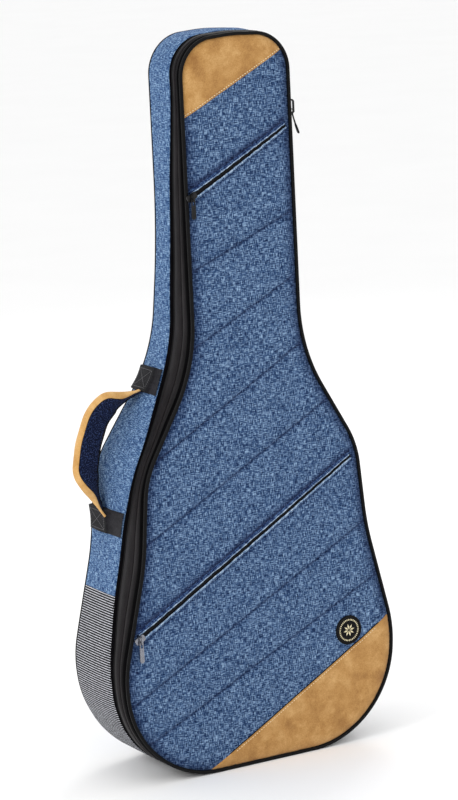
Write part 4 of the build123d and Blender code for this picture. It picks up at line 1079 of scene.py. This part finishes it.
def tab(name, z0, z1, d0, dm, d1, root_low):
    """Flat forward part d0..dm, raised box dm..d1; root_low says the handle goes in at the lower edge."""
    i0, i1 = left_index(z1), left_index(z0)
    ii = np.linspace(i0, i1, 29)
    dd = np.r_[np.linspace(d0, dm - 2.5, 16), np.linspace(dm - 1.8, dm, 6), np.linspace(dm + 1, d1 - 1, 22), [d1 - 0.4, d1, d1]]
    I, D = np.meshgrid(ii, dd, indexing="ij")
    v = np.linspace(0, 1, len(ii))[:, None]          # 0 at the upper edge
    edge = np.minimum(v, 1 - v)
    toward = v if root_low else 1 - v
    h1 = 1.5 + 0.25 * np.sin(D * 1.9)
    h2 = 4.6 + 4.6 * toward ** 1.5 + 0.8 * np.sin(math.pi * np.clip((D - dm) / (d1 - dm), 0, 1)) - 0.5 * np.exp(-((v - 0.5) / 0.3) ** 2)
    up_ = sstep(D, dm - 1.8, dm)
    H = h1 * (1 - up_) + h2 * up_
    D = np.maximum(D, BB[np.round(I).astype(int) % NP] + 0.9)
    H = np.where(edge < 0.012, -0.4, H)
    H[:, -1] = -0.6
    pos, nv = wall_point(I, D, H)
    # closed ends: first and last rows drop to the wall
    cl = np.stack([D, v * 32 + 0 * D, 0 * D], -1).reshape(-1, 3) * MM
    mi = []
    for a_ in range(len(ii) - 1):
        for b_ in range(len(dd) - 1):
            mi.append(1 if dd[b_] < dm - 1 else 0)
    o = new_mesh(name, pos.reshape(-1, 3) * MM, grid_faces(len(ii), len(dd)), mi, [M_GREYW, M_WEBG], attrs={"cl": cl})

    def line(a2, b2, n=40):
        t = np.linspace(0, 1, n)
        vi = a2[0] + (b2[0] - a2[0]) * t
        di = a2[1] + (b2[1] - a2[1]) * t
        tw = vi if root_low else 1 - vi
        hh = 4.6 + 4.6 * tw ** 1.5 + 0.8 * np.sin(math.pi * (di - dm) / (d1 - dm)) - 0.5 * np.exp(-((vi - 0.5) / 0.3) ** 2)
        return wall_point(i0 + (i1 - i0) * vi, di, hh)
    a0, a1, b0, b1 = 0.14, 0.86, dm + 4, d1 - 4
    k = 0
    for q0, q1 in (((a0, b0), (a1, b0)), ((a1, b0), (a1, b1)), ((a1, b1), (a0, b1)), ((a0, b1), (a0, b0)), ((a0, b0), (a1, b1)), ((a0, b1), (a1, b0))):
        pts, nv = line(q0, q1)
        st = stitches("%s_stitches_%d" % (name, k), pts * MM, nv, M_THREADB, 2.4, 0.9, 0.42, 0.25)
        done(st, "base", "webbing_black")
        k += 1
    return o


t1 = tab("upper_handle_tab", 567, 604, 60, 83, 127, True)
done(t1, "base", "webbing_black", "handle_tab_upper")
t2 = tab("lower_handle_tab", 364, 402, 50, 104, 154, False)
done(t2, "base", "webbing_black", "handle_tab_lower")

# =====================================================================================
# padded pieces by cloth simulation, harness and inside pads
# =====================================================================================
scene = bpy.context.scene
scene.frame_start, scene.frame_end = 1, 20


def puff(node, name, mat, slot, voxel=0.005, shrink=0.0015, pressure=4.0, cap=0.004, fill=0.8):
    """Copy a plain soft solid, remesh it, blow it up as cloth and keep the swollen shape."""
    src = N[node]
    me = src.data.copy()
    me.transform(src.matrix_world)
    me.materials.clear()
    o = bpy.data.objects.new(name, me)
    scene.collection.objects.link(o)
    r = o.modifiers.new("remesh", "REMESH")
    r.mode = "VOXEL"
    r.voxel_size = voxel
    dg = bpy.context.evaluated_depsgraph_get()
    me2 = bpy.data.meshes.new_from_object(o.evaluated_get(dg))
    o.modifiers.clear()
    o.data = me2
    n = len(me2.vertices)
    co = np.empty(n * 3)
    me2.vertices.foreach_get("co", co)
    no = np.empty(n * 3)
    me2.vertices.foreach_get("normal", no)
    rest = (co - no * shrink).reshape(-1, 3)
    me2.vertices.foreach_set("co", rest.ravel())
    me2.update()
    c = o.modifiers.new("cloth", "CLOTH")
    st_ = c.settings
    st_.quality = 5
    st_.mass = 0.3
    st_.tension_stiffness = st_.compression_stiffness = 15
    st_.shear_stiffness = 5
    st_.bending_stiffness = 0.5
    st_.use_pressure = True
    st_.uniform_pressure_force = pressure
    st_.effector_weights.gravity = 0
    c.collision_settings.use_collision = False
    c.point_cache.frame_start, c.point_cache.frame_end = 1, 20
    for f in range(1, 21):
        scene.frame_set(f)
    dg = bpy.context.evaluated_depsgraph_get()
    ev = o.evaluated_get(dg)
    new = np.empty(n * 3)
    ev.data.vertices.foreach_get("co", new)
    d = new.reshape(-1, 3) - rest
    ln = np.linalg.norm(d, axis=1)[:, None] + 1e-12
    d *= np.minimum(1, cap / ln)
    o.modifiers.clear()
    o.data.vertices.foreach_set("co", (rest + d).ravel())
    scene.frame_set(1)
    bm = bmesh.new()
    bm.from_mesh(o.data)
    bmesh.ops.smooth_vert(bm, verts=bm.verts, factor=0.5, use_axis_x=True, use_axis_y=True, use_axis_z=True)
    bm.to_mesh(o.data)
    bm.free()
    o.data.materials.append(mat)
    o.data.polygons.foreach_set("use_smooth", np.ones(len(o.data.polygons), bool))
    sb = o.modifiers.new("subdivision", "SUBSURF")
    sb.levels = sb.render_levels = 1
    done(o, "base", slot, node, pad=fill)
    return o


puff("shoulder_strap_left", "shoulder_pad_left", M_MESH, "strap_pad", cap=0.0022, shrink=0.0014)
puff("shoulder_strap_right", "shoulder_pad_right", M_MESH, "strap_pad", cap=0.0022, shrink=0.0014)
puff("tail_pad", "tail_cushion", M_LINING, "lining_plush", cap=0.003)
puff("head_pad", "head_cushion", M_LINING, "lining_plush", cap=0.003)
puff("neck_rest", "neck_cradle", M_LINING, "lining_plush", cap=0.003)


def on_back(q, lift):
    q = np.asarray(q, float)
    return np.c_[q[:, 0], back_y(q[:, 1]) + lift, q[:, 1]] * MM


NB = np.array([0, 1.0, 0])
for sgn, nm in ((-1, "left"), (1, "right")):
    poly = [(14, 664), (50, 664), (71, 610), (87, 540), (97, 470), (101, 400), (99, 354), (63, 354), (57, 400), (49, 470), (39, 540), (25, 610)]
    q = rounded([(sgn * a_, b_) for a_, b_ in poly][::sgn], [6] * 12 if sgn < 0 else [6] * 12, closed=True, step=2.0)
    q, _, _ = resample(q, 220)
    o = tube("strap_edge_" + nm, on_back(q, 4.6), 2.3 * MM, M_WEB, closed=True, sides=10)
    done(o, "base", "webbing_black")
    for k_ in (-9, 9):
        path = np.array([(39, 640), (46, 610), (63, 540), (73, 470), (79, 400), (80.5, 366)], float)
        pp, _, _ = resample(path, 90, closed=False)
        tt = np.gradient(pp, axis=0)
        tt /= np.linalg.norm(tt, axis=1)[:, None]
        pp = pp + np.c_[tt[:, 1], -tt[:, 0]] * k_
        pp[:, 0] *= sgn
        st = stitches("strap_stitches_%s_%s" % (nm, "in" if k_ > 0 else "out"), on_back(pp, 9.0), NB, M_THREADB, 3.2, 1.8, 0.5, 0.3)
        done(st, "base", "webbing_black")
for nd in ("strap_anchor_upper", "strap_anchor_lower"):
    me_ = N[nd].data
    mw = N[nd].matrix_world
    vv = np.array([tuple(mw @ v.co) for v in me_.vertices]) * 1000
    groups = [vv] if nd.endswith("upper") else [vv[vv[:, 0] < 0], vv[vv[:, 0] > 0]]
    for gi, gv in enumerate(groups):
        lo_, hi_ = gv.min(0), gv.max(0)
        th = hi_[1] - back_y(lo_[2])
        for ins in (3.0, 5.6):
            q = rounded([(lo_[0] + ins, lo_[2] + ins), (hi_[0] - ins, lo_[2] + ins), (hi_[0] - ins, hi_[2] - ins), (lo_[0] + ins, hi_[2] - ins)], [3] * 4, closed=True, step=1.0)
            st = stitches("%s_stitches_%d_%d" % (nd, gi, int(ins)), on_back(q, th), NB, M_THREAD, 2.8, 1.6, 0.5, 0.3)
            done(st, "base", "suede_tan")

# =====================================================================================
# main zip pulls: cast bars hanging from the sliders' loops, leaning outwards
# =====================================================================================


def bar(name, body, node, pivot, lean, length, mat):
    """Tapered cast pull with an eye at the top and a rounded grip."""
    x, y, z = pivot
    prof = [(0, 1.1, 1.0), (0.04, 1.5, 1.1), (0.12, 1.5, 1.0), (0.3, 1.35, 1.0), (0.55, 1.7, 1.1), (0.62, 2.2, 1.5), (0.9, 2.6, 1.6), (0.97, 2.2, 1.4), (1.0, 1.2, 0.9)]
    verts, n = [], 14
    for t, w, h in prof:
        cx = x + lean * t ** 1.2
        cz = z - 1.2 - (length - 1.2) * t
        for a_ in np.linspace(0, 2 * math.pi, n, endpoint=False):
            ca, sa = math.cos(a_), math.sin(a_)
            verts.append((cx + h * np.sign(ca) * abs(ca) ** 0.7, y + w * np.sign(sa) * abs(sa) ** 0.7, cz))
    faces = grid_faces(len(prof), n, wrap_c=True)
    faces += [tuple(range(n))[::-1], tuple(range((len(prof) - 1) * n, len(prof) * n))]
    o = new_mesh(name, np.array(verts) * MM, faces, None, [mat])
    done(o, body, "slider_black", node)
    a_ = np.linspace(0, 2 * math.pi, 28, endpoint=False)
    pts = np.c_[x + 0 * a_, y + 2.4 * np.cos(a_), z + 0.4 + 2.6 * np.sin(a_)] * MM
    o = tube(name + "_eye", pts, 0.75 * MM, mat, closed=True, sides=8, normal=(1, 0, 0))
    done(o, body, "slider_black")


bar("main_pull_bar_upper", "main_pull_upper", "main_pull_upper", (103.9, -62.0, 967.4), 10.0, 34.0, M_SLIDER)
bar("main_pull_bar_lower", "main_pull_lower", "main_pull_lower", (99.9, -54.0, 939.4), 5.0, 37.0, M_SLIDER)

# =====================================================================================
# floor
# =====================================================================================
fm = NT("floor", rough=0.7, spec=0.1)
fm.colour(fm.ramp(fm.noise(fm.coords(None, (3, 3, 3)), 1.0, 2, 0.5), [(0.3, (0.955, 0.955, 0.955, 1)), (0.7, (0.97, 0.97, 0.97, 1))]))
floor = new_mesh("floor", [(-45, -45, 0), (45, -45, 0), (45, 45, 0), (-45, 45, 0)], [(0, 1, 2, 3)], None, [fm.m], smooth=False)

# =====================================================================================
# carried-over CAD pieces: better finishes
# =====================================================================================


def finish_cad(mat, *names):
    for nm in names:
        o = N[nm]
        o.data.materials.clear()
        o.data.materials.append(mat)


finish_cad(M_SLIDER, "main_slider_upper", "main_slider_lower", "upper_pocket_slider", "upper_pocket_pull")
finish_cad(M_GUN, "lower_pocket_slider", "lower_pocket_pull")
finish_cad(M_PLAST, "strap_buckle_left", "strap_buckle_right")
finish_cad(M_WEB, "haul_loop", "strap_webbing_left", "strap_webbing_right",
           "neck_strap_hook", "neck_strap_loop", "base_hinge_leaf", "lid_hinge_leaf", "hinge_bead")
finish_cad(M_SUEDE, "strap_anchor_upper", "strap_anchor_lower")
